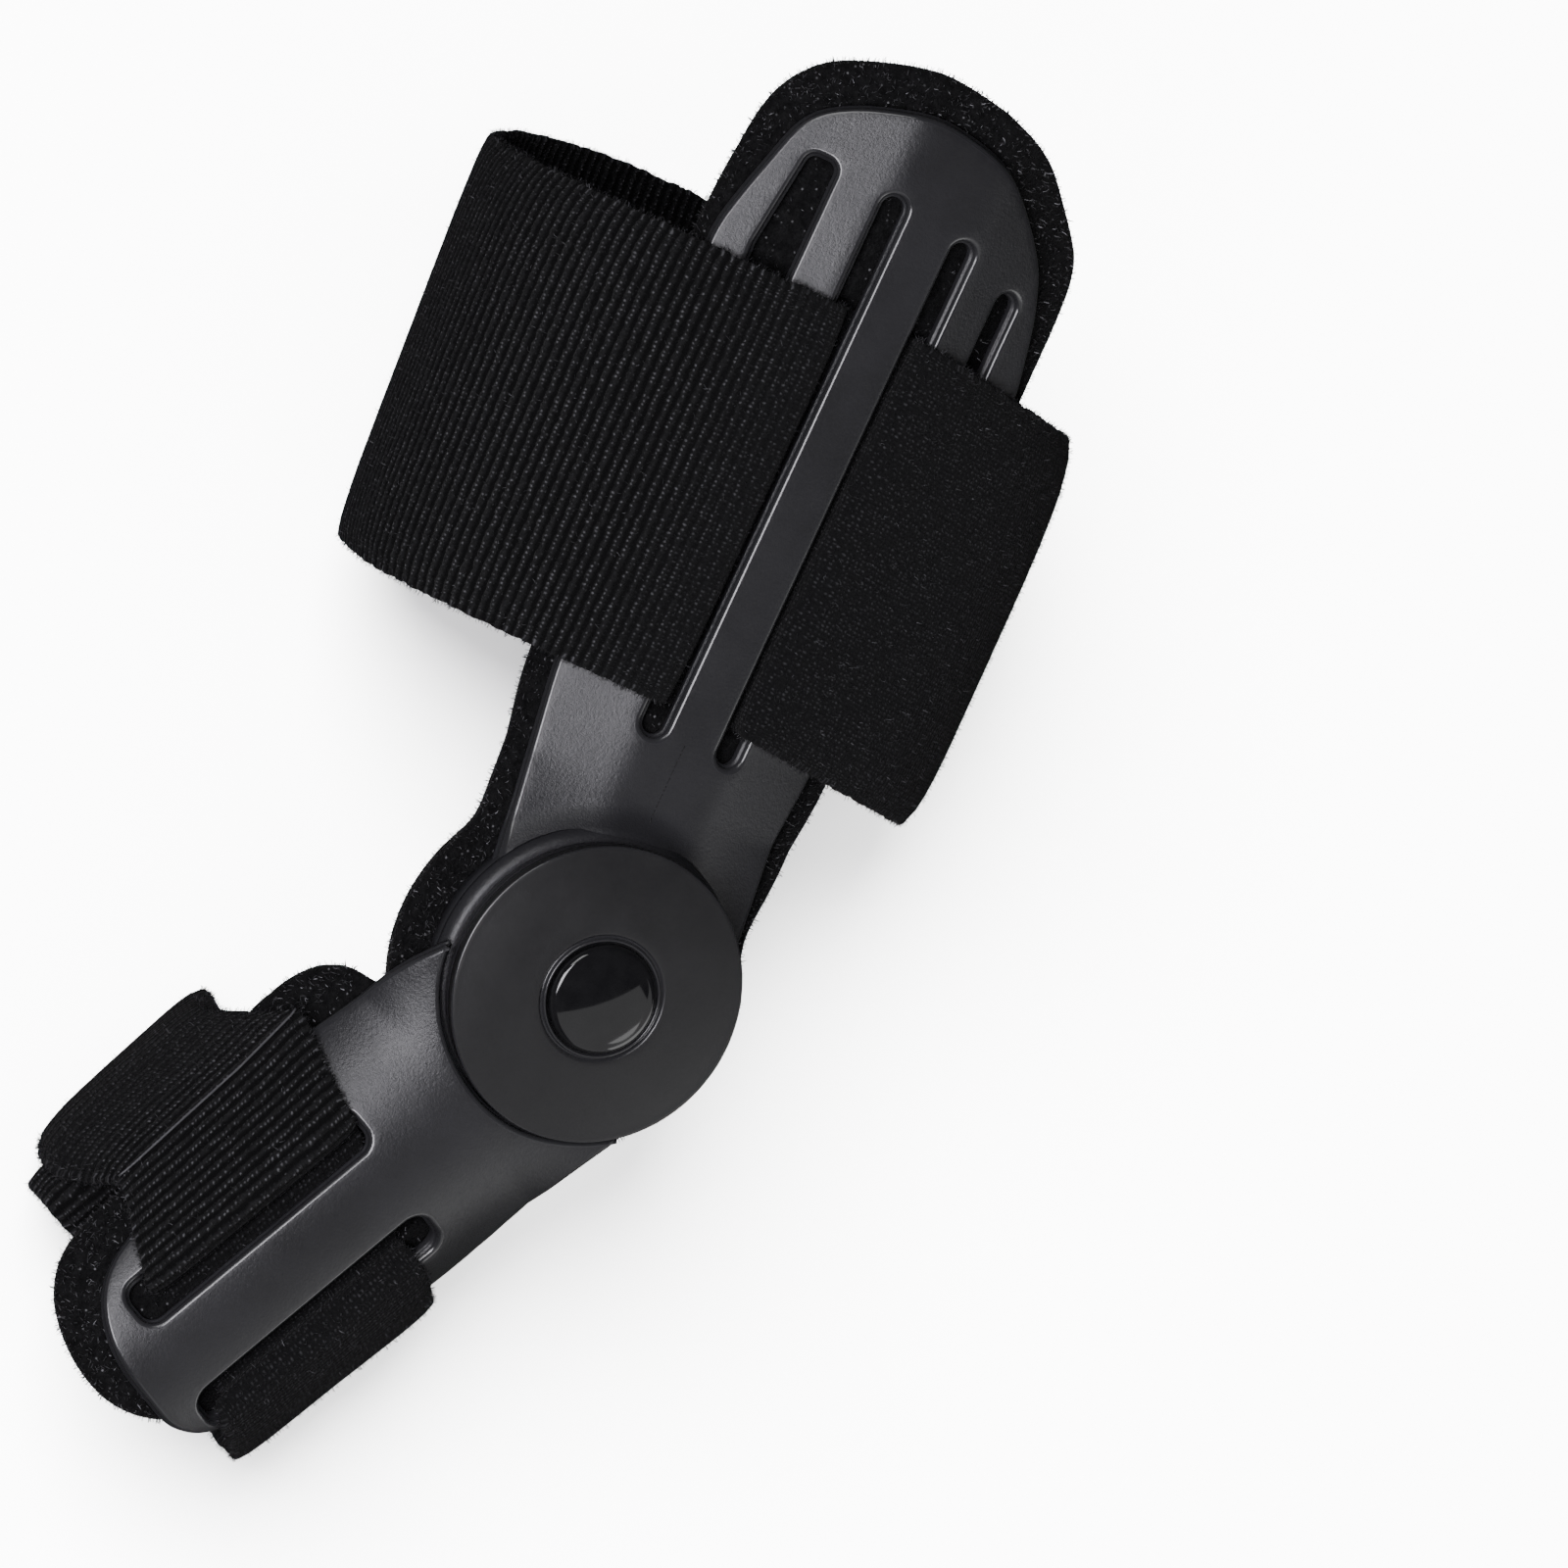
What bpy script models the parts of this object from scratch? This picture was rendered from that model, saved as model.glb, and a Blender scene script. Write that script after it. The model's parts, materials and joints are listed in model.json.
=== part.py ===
"""Hinged bunion corrector: a foot arm and a toe arm of curved plastic that turn on one riveted hinge, each lined with
a foam pad and held on by an open loop of knitted strap.

The splint frame has its origin on the hinge axis, at the rim of the hinge disc. +X runs along the foot arm towards the
heel, +Y points to the top of the foot and +Z out of the disc. In the toe's own frame the arm runs along -X, and the
toe pivot turns it by the bend of the hinge. The whole lies on the backs of its two loops, with the disc up."""

import math

import bmesh
import bpy

# Running and sewing clearances
CLEARANCE = 0.0003
BORE_CLEARANCE = 0.0003
SWEEP_CLEARANCE = 0.0006
PAD_CLEARANCE = 0.0006

# Hinge: cap disc, rivet and the two hub plates under the disc
BEND_DEG = 27.8
DISC_RADIUS = 0.0200
DISC_EDGE_THICKNESS = 0.0022
DISC_CROWN = 0.0018
DISC_EDGE_ROUND = 0.0004
GROOVE_RADIUS = 0.0085
GROOVE_DEPTH = 0.0006
BUTTON_RADIUS = 0.0073
BUTTON_WALL = 0.0016
BUTTON_CROWN = 0.0010
PIN_RADIUS = 0.0030
PIN_FOOT_RADIUS = 0.0055
PIN_FOOT_THICKNESS = 0.0012
TOE_HUB_THICKNESS = 0.0019
FOOT_HUB_RADIUS = 0.0204
FOOT_HUB_THICKNESS = 0.0041

# Foot arm
FOOT_ARM_LENGTH = 0.1213
FOOT_ARM_HALF = 0.0262
FOOT_ARM_BEND_RADIUS = 0.050
FOOT_SHELL = 0.0020
FOOT_BAR_HALF = 0.0038
FOOT_SLOT_WIDTH = 0.0041
FOOT_SLOT_START = 0.0330
FOOT_SLOT_LAND = 0.0114
OUTER_SLOT_INSET = 0.0145
OUTER_SLOT_WIDTH = 0.0046
OUTER_SLOT_START = 0.0600
DORSAL_SLOT_LAND = 0.0107
PLANTAR_SLOT_LAND = 0.0165

# Toe arm
TOE_ARM_LENGTH = 0.0779
TOE_ARM_HALF = 0.0230
TOE_ARM_BEND_RADIUS = 0.0225
TOE_SHELL = 0.0022
TOE_CREST_DROP = 0.0010
TOE_CREST_SHIFT = -0.0024
TOE_BAR_HALF = 0.0057
TOE_SLOT_WIDTH = 0.0066
TOE_SLOT_START = 0.0338
TOE_SLOT_LAND = 0.0054

# Pads
FOOT_PAD_THICKNESS = 0.0036
FOOT_PAD_LOBE_RADIUS = 0.0243
FOOT_PAD_LOBE_PLANTAR = 0.0228
TOE_PAD_THICKNESS = 0.0040

# Straps
STRAP_THICKNESS = 0.0018
FOOT_STRAP_INSET = 0.0048
FOOT_STRAP_WIDTH = 0.0566
FOOT_STRAP_SKEW = 0.0042
FOOT_LOOP_HALF = 0.0445
FOOT_LOOP_DEPTH = 0.0665
TOE_STRAP_INSET = 0.0010
TOE_STRAP_WIDTH = 0.0305
TOE_STRAP_SKEW = 0.0050
TOE_LOOP_HALF = 0.0240
TOE_LOOP_DEPTH = 0.0380
STRAP_LIFT = 0.0006
CORNER_RADIUS = 0.0016

# Heights of the stack under the disc's rim
DISC_UNDERSIDE = -DISC_EDGE_THICKNESS
TOE_HUB_TOP = DISC_UNDERSIDE - CLEARANCE
TOE_HUB_UNDERSIDE = TOE_HUB_TOP - TOE_HUB_THICKNESS
FOOT_HUB_TOP = TOE_HUB_UNDERSIDE - CLEARANCE
FOOT_HUB_UNDERSIDE = FOOT_HUB_TOP - FOOT_HUB_THICKNESS
FOOT_CREST = FOOT_HUB_UNDERSIDE + FOOT_SHELL
TOE_CREST = -TOE_CREST_DROP

BEND = math.radians(BEND_DEG)
FOOT_SLOT_END = FOOT_ARM_LENGTH - FOOT_SLOT_LAND
DORSAL_SLOT_END = FOOT_ARM_LENGTH - DORSAL_SLOT_LAND
PLANTAR_SLOT_END = FOOT_ARM_LENGTH - PLANTAR_SLOT_LAND
TOE_SLOT_END = TOE_ARM_LENGTH - TOE_SLOT_LAND
FOOT_STRAP_START = FOOT_SLOT_START + FOOT_STRAP_INSET
TOE_STRAP_START = TOE_SLOT_START + TOE_STRAP_INSET
FOOT_STRAP_MIDDLE = FOOT_STRAP_START + FOOT_STRAP_WIDTH / 2
TOE_STRAP_MIDDLE = TOE_STRAP_START + TOE_STRAP_WIDTH / 2
REST_SLOPE = (FOOT_LOOP_DEPTH - TOE_LOOP_DEPTH) / (FOOT_STRAP_MIDDLE + TOE_STRAP_MIDDLE * math.cos(BEND))
REST_TILT = math.atan(REST_SLOPE)

# Foot arm from the hinge to the heel end. along: share of the arm's length. dorsal, plantar: how far its two edges
# lie from the crest, measured over the curve, as shares of the arm's half width. curve: share of its full bend.
FOOT_ARM_ROWS = (
    # along, dorsal, plantar, curve
    (0.040, 0.700, 0.730, 0.00),
    (0.132, 0.690, 0.732, 0.22),
    (0.210, 0.740, 0.742, 0.55),
    (0.297, 0.800, 0.812, 0.82),
    (0.420, 0.845, 0.870, 0.86),
    (0.544, 0.890, 0.925, 0.91),
    (0.670, 0.945, 0.985, 0.96),
    (0.760, 0.990, 1.010, 0.99),
    (0.800, 0.998, 0.965, 1.00),
    (0.850, 0.943, 0.895, 1.00),
    (0.900, 0.876, 0.775, 1.00),
    (0.932, 0.838, 0.620, 1.00),
    (0.954, 0.770, 0.490, 1.00),
    (0.977, 0.588, 0.332, 1.00),
    (0.992, 0.382, 0.134, 1.00),
    (1.000, 0.230, -0.100, 1.00),
)

# Toe arm from the hinge to the tip, in the same way.
TOE_ARM_ROWS = (
    # along, dorsal, plantar, curve
    (0.140, 0.830, 0.720, 0.46),
    (0.215, 0.925, 0.745, 0.54),
    (0.262, 0.950, 0.785, 0.66),
    (0.300, 0.970, 0.820, 0.80),
    (0.350, 0.990, 0.885, 0.86),
    (0.410, 1.020, 0.975, 0.92),
    (0.470, 1.015, 1.020, 0.94),
    (0.530, 0.995, 1.030, 0.96),
    (0.650, 0.970, 1.000, 0.98),
    (0.760, 0.880, 0.950, 1.00),
    (0.840, 0.750, 0.840, 1.00),
    (0.890, 0.715, 0.760, 1.00),
    (0.935, 0.630, 0.640, 1.00),
    (0.968, 0.490, 0.540, 1.00),
    (0.988, 0.340, 0.440, 1.00),
    (1.000, 0.150, 0.310, 1.00),
)

# The pads' own outlines, as shares of the length and half width of the arm that each lines. The foot pad starts
# with a round lobe behind the hinge, and the toe pad has its lobe past the arm's dorsal edge.
FOOT_PAD_ROWS = (
    # along, dorsal, plantar
    (0.115, 0.771, 0.798),
    (0.145, 0.789, 0.840),
    (0.200, 0.815, 0.918),
    (0.275, 0.890, 1.004),
    (0.420, 0.950, 1.060),
    (0.600, 1.000, 1.100),
    (0.780, 1.030, 1.110),
    (0.845, 1.025, 1.110),
    (0.900, 1.003, 1.092),
    (0.932, 0.990, 1.040),
    (0.960, 0.955, 0.897),
    (0.985, 0.890, 0.760),
    (1.010, 0.780, 0.620),
    (1.028, 0.590, 0.416),
    (1.040, 0.430, 0.140),
    (1.047, 0.300, -0.080),
)
TOE_PAD_ROWS = (
    # along, dorsal, plantar
    (0.140, 0.700, 0.700),
    (0.266, 0.880, 0.780),
    (0.275, 1.040, 0.800),
    (0.290, 1.150, 0.810),
    (0.322, 1.258, 0.850),
    (0.355, 1.312, 0.890),
    (0.400, 1.355, 0.940),
    (0.460, 1.360, 0.960),
    (0.520, 1.270, 0.960),
    (0.600, 1.120, 0.950),
    (0.700, 1.020, 0.930),
    (0.820, 0.970, 0.820),
    (0.900, 0.930, 0.680),
    (0.943, 0.905, 0.570),
    (0.978, 0.840, 0.440),
    (1.012, 0.730, 0.300),
    (1.034, 0.590, 0.170),
    (1.047, 0.450, 0.070),
    (1.057, 0.290, -0.070),
)

ACROSS_STEPS = 14
ROUND_STEPS = 48
PLASTIC = (0.028, 0.029, 0.031)
GLOSS = (0.012, 0.012, 0.013)
FOAM = (0.010, 0.010, 0.011)
KNIT = (0.013, 0.013, 0.014)


def clear_scene():
    for thing in list(bpy.data.objects):
        bpy.data.objects.remove(thing, do_unlink=True)


def collection(name, shown):
    made = bpy.data.collections.new(name)
    made.hide_render = not shown
    bpy.context.scene.collection.children.link(made)
    return made


def finish(name, colour, roughness):
    made = bpy.data.materials.new(name)
    made.use_nodes = True
    shader = made.node_tree.nodes["Principled BSDF"]
    shader.inputs["Base Color"].default_value = (*colour, 1)
    shader.inputs["Roughness"].default_value = roughness
    return made


def row_at(rows, along):
    """The columns after the first, read between the two rows that along lies between."""
    for low, high in zip(rows, rows[1:]):
        if along <= high[0] or high is rows[-1]:
            share = (along - low[0]) / (high[0] - low[0])
            share = min(max(share, 0), 1)
            return [a + (b - a) * share for a, b in zip(low[1:], high[1:])]


def on_arch(arc, bend, crest_y, crest_z, straight_past):
    """The point that lies arc away from the crest, measured over a surface of that bend (one over its radius).
    Past the named arc on either side the surface runs on straight."""
    held = min(max(arc, -straight_past[1]), straight_past[0])
    turn = bend * held
    if abs(turn) < 1e-6:
        return crest_y + arc, crest_z
    across = math.sin(turn) / bend + (arc - held) * math.cos(turn)
    drop = (1 - math.cos(turn)) / bend + (arc - held) * math.sin(turn)
    return crest_y + across, crest_z - drop


def sheet_object(name, lines, closed, thickness, offset):
    """A surface through lines of points, each line with as many points, made solid by its thickness."""
    count = len(lines[0])
    faces = []
    for row in range(len(lines) - 1):
        for step in range(count if closed else count - 1):
            after = (step + 1) % count
            a, b = row * count, (row + 1) * count
            faces.append((a + step, b + step, b + after, a + after))
    mesh = bpy.data.meshes.new(name)
    mesh.from_pydata([point for line in lines for point in line], [], faces)
    made = bpy.data.objects.new(name, mesh)
    solid = made.modifiers.new("thickness", "SOLIDIFY")
    solid.thickness = thickness
    solid.offset = offset
    solid.use_even_offset = True
    return made


def arch_lines(stations):
    """One line of points for each station (x, dorsal arc, plantar arc, bend, crest y, crest z, straight past), in
    order of x."""
    lines = []
    for x, dorsal, plantar, bend, crest_y, crest_z, straight_past in sorted(stations):
        arcs = [(dorsal + plantar) * step / ACROSS_STEPS - plantar for step in range(ACROSS_STEPS + 1)]
        lines.append([(x, *on_arch(arc, bend, crest_y, crest_z, straight_past)) for arc in arcs])
    return lines


def rounded(corners, steps, closed):
    """A path through corners (across, height, radius), each corner turned on an arc of its radius. Each of its points
    is (across, height, index of its corner)."""
    path = []
    for index, (across, height, radius) in enumerate(corners):
        last = len(corners) - 1
        if radius == 0 or (not closed and index in (0, last)):
            path.append((across, height, index))
            continue
        before = corners[index - 1]
        after = corners[(index + 1) % len(corners)]
        to_before = math.atan2(before[1] - height, before[0] - across)
        to_after = math.atan2(after[1] - height, after[0] - across)
        half = abs((to_after - to_before + math.pi) % (2 * math.pi) - math.pi) / 2
        middle = math.atan2(
            math.sin(to_before) + math.sin(to_after), math.cos(to_before) + math.cos(to_after)
        )
        reach = radius / math.sin(half)
        centre = (across + reach * math.cos(middle), height + reach * math.sin(middle))
        side = 1 if math.sin(middle - to_before) > 0 else -1
        for step in range(steps + 1):
            angle = to_before - side * (math.pi / 2 + (math.pi - 2 * half) * step / steps)
            point = (centre[0] + radius * math.cos(angle), centre[1] + radius * math.sin(angle))
            path.append((*point, index))
    return path


def prism(name, outline, low, high):
    """An outline in X and Y as a mesh solid from height low to height high."""
    curve = bpy.data.curves.new(name, "CURVE")
    curve.dimensions = "2D"
    curve.fill_mode = "BOTH"
    curve.extrude = (high - low) / 2
    line = curve.splines.new("POLY")
    line.points.add(len(outline) - 1)
    for point, (x, y) in zip(line.points, outline):
        point.co = (x, y, 0, 1)
    line.use_cyclic_u = True
    flat = bpy.data.objects.new(name + "_outline", curve)
    bpy.context.scene.collection.objects.link(flat)
    bpy.context.view_layer.update()
    graph = bpy.context.evaluated_depsgraph_get()
    mesh = bpy.data.meshes.new_from_object(flat.evaluated_get(graph))
    bpy.data.objects.remove(flat)
    welded = bmesh.new()
    welded.from_mesh(mesh)
    bmesh.ops.remove_doubles(welded, verts=welded.verts, dist=1e-6)
    bmesh.ops.recalc_face_normals(welded, faces=welded.faces)
    welded.to_mesh(mesh)
    welded.free()
    made = bpy.data.objects.new(name, mesh)
    made.location.z = (low + high) / 2
    return made


def drum(name, radius, low, high):
    mesh = bpy.data.meshes.new(name)
    shape = bmesh.new()
    bmesh.ops.create_cone(
        shape, cap_ends=True, segments=ROUND_STEPS, radius1=radius, radius2=radius, depth=high - low
    )
    shape.to_mesh(mesh)
    shape.free()
    made = bpy.data.objects.new(name, mesh)
    made.location.z = (low + high) / 2
    return made


def slot(name, start, end, low, high):
    """A slot cutter with round ends, from start to end along X and low to high along Y."""
    radius = (high - low) * 0.42
    corners = [(start, low, radius), (end, low, radius), (end, high, radius), (start, high, radius)]
    outline = [point[:2] for point in rounded(corners, 4, True)]
    return prism(name, outline, -10 * DISC_EDGE_THICKNESS, 2 * DISC_EDGE_THICKNESS)


def turned(name, profile):
    """A profile of (radius, height) points, turned round the hinge axis."""
    mesh = bpy.data.meshes.new(name)
    edges = [(i, i + 1) for i in range(len(profile) - 1)]
    if profile[0][0] > 0:
        edges.append((len(profile) - 1, 0))
    mesh.from_pydata([(radius, 0, height) for radius, height in profile], edges, [])
    made = bpy.data.objects.new(name, mesh)
    screw = made.modifiers.new("turn", "SCREW")
    screw.steps = ROUND_STEPS
    screw.render_steps = ROUND_STEPS
    screw.use_merge_vertices = True
    screw.merge_threshold = 0.00001
    return made


def boolean(target, other, operation):
    step = target.modifiers.new(operation.lower() + "_" + other.name, "BOOLEAN")
    step.operation = operation
    step.object = other
    step.solver = "EXACT"


def floor_height(x, y, turn):
    """The height of the surface that the loops lie on, under a point of a frame turned by that angle about Z."""
    at_foot = -FOOT_LOOP_DEPTH + FOOT_STRAP_MIDDLE * REST_SLOPE
    return at_foot - (x * math.cos(turn) - y * math.sin(turn)) * REST_SLOPE


def foot_bend(along):
    return row_at(FOOT_ARM_ROWS, along)[2] / FOOT_ARM_BEND_RADIUS


def toe_bend(along):
    return row_at(TOE_ARM_ROWS, along)[2] / TOE_ARM_BEND_RADIUS


def under(bend, depth):
    """The bend of a surface that lies depth below one of the given bend."""
    return bend / (1 - bend * depth)


def foot_arm():
    stations = []
    for along, dorsal, plantar, curve in FOOT_ARM_ROWS:
        reach = (dorsal * FOOT_ARM_HALF, plantar * FOOT_ARM_HALF)
        bend = curve / FOOT_ARM_BEND_RADIUS
        stations.append((along * FOOT_ARM_LENGTH, *reach, bend, 0, FOOT_CREST, reach))
    made = sheet_object("foot_arm", arch_lines(stations), False, FOOT_SHELL, -1)
    boolean(made, helper(drum("foot_hub", FOOT_HUB_RADIUS, FOOT_HUB_UNDERSIDE, FOOT_HUB_TOP)), "UNION")
    inner = FOOT_BAR_HALF + FOOT_SLOT_WIDTH
    outer = OUTER_SLOT_INSET + OUTER_SLOT_WIDTH
    for side, mirror, end in (("dorsal", 1, DORSAL_SLOT_END), ("plantar", -1, PLANTAR_SLOT_END)):
        across = sorted((mirror * FOOT_BAR_HALF, mirror * inner))
        cutter = slot("foot_slot_" + side, FOOT_SLOT_START, FOOT_SLOT_END, *across)
        boolean(made, helper(cutter), "DIFFERENCE")
        across = sorted((mirror * OUTER_SLOT_INSET, mirror * outer))
        cutter = slot("outer_slot_" + side, OUTER_SLOT_START, end, *across)
        boolean(made, helper(cutter), "DIFFERENCE")
    bore = drum("foot_bore", PIN_RADIUS + BORE_CLEARANCE, 2 * FOOT_HUB_UNDERSIDE, 0)
    boolean(made, helper(bore), "DIFFERENCE")
    ceiling = FOOT_HUB_UNDERSIDE + PIN_FOOT_THICKNESS + 2 * CLEARANCE
    seat = drum("pin_seat", PIN_FOOT_RADIUS + BORE_CLEARANCE, 2 * FOOT_HUB_UNDERSIDE, ceiling)
    boolean(made, helper(seat), "DIFFERENCE")
    return made


def toe_arm():
    stations = []
    for along, dorsal, plantar, curve in TOE_ARM_ROWS:
        reach = (dorsal * TOE_ARM_HALF, plantar * TOE_ARM_HALF)
        bend = curve / TOE_ARM_BEND_RADIUS
        stations.append((-along * TOE_ARM_LENGTH, *reach, bend, TOE_CREST_SHIFT, TOE_CREST, reach))
    made = sheet_object("toe_arm", arch_lines(stations), False, TOE_SHELL, -1)
    recess = drum("disc_recess", DISC_RADIUS + CLEARANCE, TOE_HUB_TOP, 2 * DISC_EDGE_THICKNESS)
    boolean(made, helper(recess), "DIFFERENCE")
    swept = TOE_HUB_UNDERSIDE + TOE_HUB_THICKNESS / 20
    sweep = drum("foot_hub_sweep", FOOT_HUB_RADIUS + SWEEP_CLEARANCE, 4 * FOOT_HUB_UNDERSIDE, swept)
    boolean(made, helper(sweep), "DIFFERENCE")
    boolean(made, helper(drum("toe_hub", DISC_RADIUS, TOE_HUB_UNDERSIDE, TOE_HUB_TOP)), "UNION")
    for side, mirror in (("dorsal", 1), ("plantar", -1)):
        near = TOE_CREST_SHIFT + mirror * TOE_BAR_HALF
        across = sorted((near, near + mirror * TOE_SLOT_WIDTH))
        cutter = slot("toe_slot_" + side, -TOE_SLOT_END, -TOE_SLOT_START, *across)
        boolean(made, helper(cutter), "DIFFERENCE")
    bore = drum("toe_bore", PIN_RADIUS + BORE_CLEARANCE, 2 * TOE_HUB_UNDERSIDE, DISC_EDGE_THICKNESS)
    boolean(made, helper(bore), "DIFFERENCE")
    return made


def disc_height(radius):
    return DISC_CROWN * (1 - (radius / DISC_RADIUS) ** 2)


def hinge_disc():
    bore = PIN_RADIUS + BORE_CLEARANCE
    groove_floor = disc_height(GROOVE_RADIUS) - GROOVE_DEPTH
    flat = DISC_RADIUS - DISC_EDGE_ROUND
    dome = [flat - step * (flat - GROOVE_RADIUS) / 4 for step in range(5)]
    profile = [(bore, groove_floor), (GROOVE_RADIUS, groove_floor)]
    profile += [(radius, disc_height(radius)) for radius in reversed(dome)]
    profile += [(DISC_RADIUS, -DISC_EDGE_ROUND), (DISC_RADIUS, DISC_UNDERSIDE), (bore, DISC_UNDERSIDE)]
    return turned("hinge_disc", profile)


def hinge_rivet():
    seat = disc_height(GROOVE_RADIUS) - GROOVE_DEPTH + CLEARANCE
    rim = seat + BUTTON_WALL
    foot_top = FOOT_HUB_UNDERSIDE + PIN_FOOT_THICKNESS + CLEARANCE
    profile = []
    for step in range(5):
        radius = BUTTON_RADIUS * 0.94 * step / 4
        profile.append((radius, rim + BUTTON_CROWN * (1 - (radius / BUTTON_RADIUS) ** 2)))
    profile += [(BUTTON_RADIUS, rim - BUTTON_WALL / 8), (BUTTON_RADIUS, seat), (PIN_RADIUS, seat)]
    profile += [(PIN_RADIUS, foot_top), (PIN_FOOT_RADIUS, foot_top)]
    profile += [(PIN_FOOT_RADIUS, foot_top - PIN_FOOT_THICKNESS), (0, foot_top - PIN_FOOT_THICKNESS)]
    return turned("hinge_rivet", profile)


def foot_pad():
    depth = FOOT_SHELL + PAD_CLEARANCE
    crest = FOOT_CREST - depth
    stations = []
    lobe_steps = 10
    waist = FOOT_PAD_ROWS[0][0] * FOOT_ARM_LENGTH
    for step in range(lobe_steps + 1):
        turn = math.pi * (0.04 + 0.62 * step / lobe_steps)
        x, reach = -FOOT_PAD_LOBE_RADIUS * math.cos(turn), FOOT_PAD_LOBE_RADIUS * math.sin(turn)
        if x < waist:
            bend = under(foot_bend(x / FOOT_ARM_LENGTH), depth)
            plantar = reach * FOOT_PAD_LOBE_PLANTAR / FOOT_PAD_LOBE_RADIUS
            stations.append((x, reach, plantar, bend, 0, crest, (reach, reach)))
    for along, dorsal, plantar in FOOT_PAD_ROWS:
        reach = (dorsal * FOOT_ARM_HALF, plantar * FOOT_ARM_HALF)
        stations.append((along * FOOT_ARM_LENGTH, *reach, under(foot_bend(along), depth), 0, crest, reach))
    made = sheet_object("foot_pad", arch_lines(stations), False, FOOT_PAD_THICKNESS, -1)
    side = strap_pass(FOOT_BAR_HALF, FOOT_SLOT_WIDTH) + STRAP_THICKNESS / 2 + CLEARANCE
    low = under_bar(FOOT_CREST, FOOT_SHELL, 0) - STRAP_THICKNESS / 2 - CLEARANCE
    start, end = FOOT_STRAP_START - CLEARANCE, FOOT_STRAP_START + FOOT_STRAP_WIDTH + CLEARANCE
    outline = [(start, -side), (end, -side), (end, side), (start, side)]
    boolean(made, helper(prism("foot_strap_channel", outline, low, 0)), "DIFFERENCE")
    return made


def toe_pad():
    depth = TOE_SHELL + PAD_CLEARANCE
    crest = TOE_CREST - depth
    stations = []
    for along, dorsal, plantar in TOE_PAD_ROWS:
        shrink = 1 - depth * toe_bend(along)
        shell = [share * TOE_ARM_HALF * shrink for share in row_at(TOE_ARM_ROWS, min(along, 0.9))[:2]]
        reach = (dorsal * TOE_ARM_HALF, plantar * TOE_ARM_HALF)
        bend = under(toe_bend(along), depth)
        stations.append((-along * TOE_ARM_LENGTH, *reach, bend, TOE_CREST_SHIFT, crest, shell))
    made = sheet_object("toe_pad", arch_lines(stations), False, TOE_PAD_THICKNESS, -1)
    swept = FOOT_PAD_LOBE_RADIUS + 2 * SWEEP_CLEARANCE
    boolean(made, helper(drum("pad_sweep", swept, 8 * FOOT_HUB_UNDERSIDE, DISC_RADIUS)), "DIFFERENCE")
    side = strap_pass(TOE_BAR_HALF, TOE_SLOT_WIDTH) + STRAP_THICKNESS / 2 + CLEARANCE
    low = under_bar(TOE_CREST, TOE_SHELL, toe_bar_drop()) - STRAP_THICKNESS / 2 - CLEARANCE
    near, far = -TOE_STRAP_START + CLEARANCE, -TOE_STRAP_START - TOE_STRAP_WIDTH - CLEARANCE
    outline = [(far, TOE_CREST_SHIFT - side), (near, TOE_CREST_SHIFT - side)]
    outline += [(near, TOE_CREST_SHIFT + side), (far, TOE_CREST_SHIFT + side)]
    boolean(made, helper(prism("toe_strap_channel", outline, low, 0)), "DIFFERENCE")
    return made


def toe_bar_drop():
    """How far the bar's edges lie below its crest."""
    return TOE_ARM_BEND_RADIUS - math.sqrt(TOE_ARM_BEND_RADIUS**2 - TOE_BAR_HALF**2)


def strap_pass(bar_half, slot_width):
    """How far from the crest line a strap goes up through a slot beside the bar."""
    return bar_half + slot_width / 2


def under_bar(crest, shell, drop):
    """The height of the strap's middle where it lies under a bar."""
    return crest - drop - shell - 2 * CLEARANCE - STRAP_THICKNESS / 2


def on_floor(x, y, turn, layers):
    """The height of the strap's middle where it lies on the floor, on so many other layers."""
    lift = (STRAP_THICKNESS * (layers + 0.5) + CLEARANCE * layers) / math.cos(REST_TILT)
    return floor_height(x, y, turn) + lift


def foot_strap():
    side = strap_pass(FOOT_BAR_HALF, FOOT_SLOT_WIDTH)
    low = under_bar(FOOT_CREST, FOOT_SHELL, 0)
    top = FOOT_CREST + STRAP_LIFT + STRAP_THICKNESS / 2
    lines = []
    for share in (0, 0.33, 0.67, 1):
        x = FOOT_STRAP_START + FOOT_STRAP_WIDTH * share
        middle = (top + floor_height(x, 0, 0)) / 2
        half = []
        for step in range(1, 19):
            turn = math.pi * (0.055 + 0.945 * step / 18)
            across = FOOT_LOOP_HALF * math.sin(turn)
            if turn < math.pi / 2:
                half.append((across, middle + (top - middle) * math.cos(turn), 0))
                continue
            flat = (1 - abs(math.sin(turn)) ** 2.8) ** (1 / 2.8)
            base = on_floor(x, across, 0, 0)
            half.append((across, middle + (base - middle) * min(1, 1.03 * flat), 0))
        corners = [(side, low, CORNER_RADIUS), (side, top, CORNER_RADIUS * 1.3), *half]
        corners += [(-across, height, radius) for across, height, radius in reversed(corners[:-1])]
        line = []
        for across, height, _ in rounded(corners, 3, True):
            fall = max(0.0, (middle - height) / (middle - on_floor(x, 0, 0, 0)))
            if fall == 0:
                shift = FOOT_STRAP_SKEW * max(0.0, -across - side) / (FOOT_LOOP_HALF - side)
            else:
                shift = FOOT_STRAP_SKEW * (FOOT_LOOP_HALF - across) / (2 * FOOT_LOOP_HALF)
            line.append((x - shift, across, height + fall * shift * REST_SLOPE))
        lines.append(line)
    return sheet_object("foot_strap", lines, True, STRAP_THICKNESS, 0)


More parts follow.
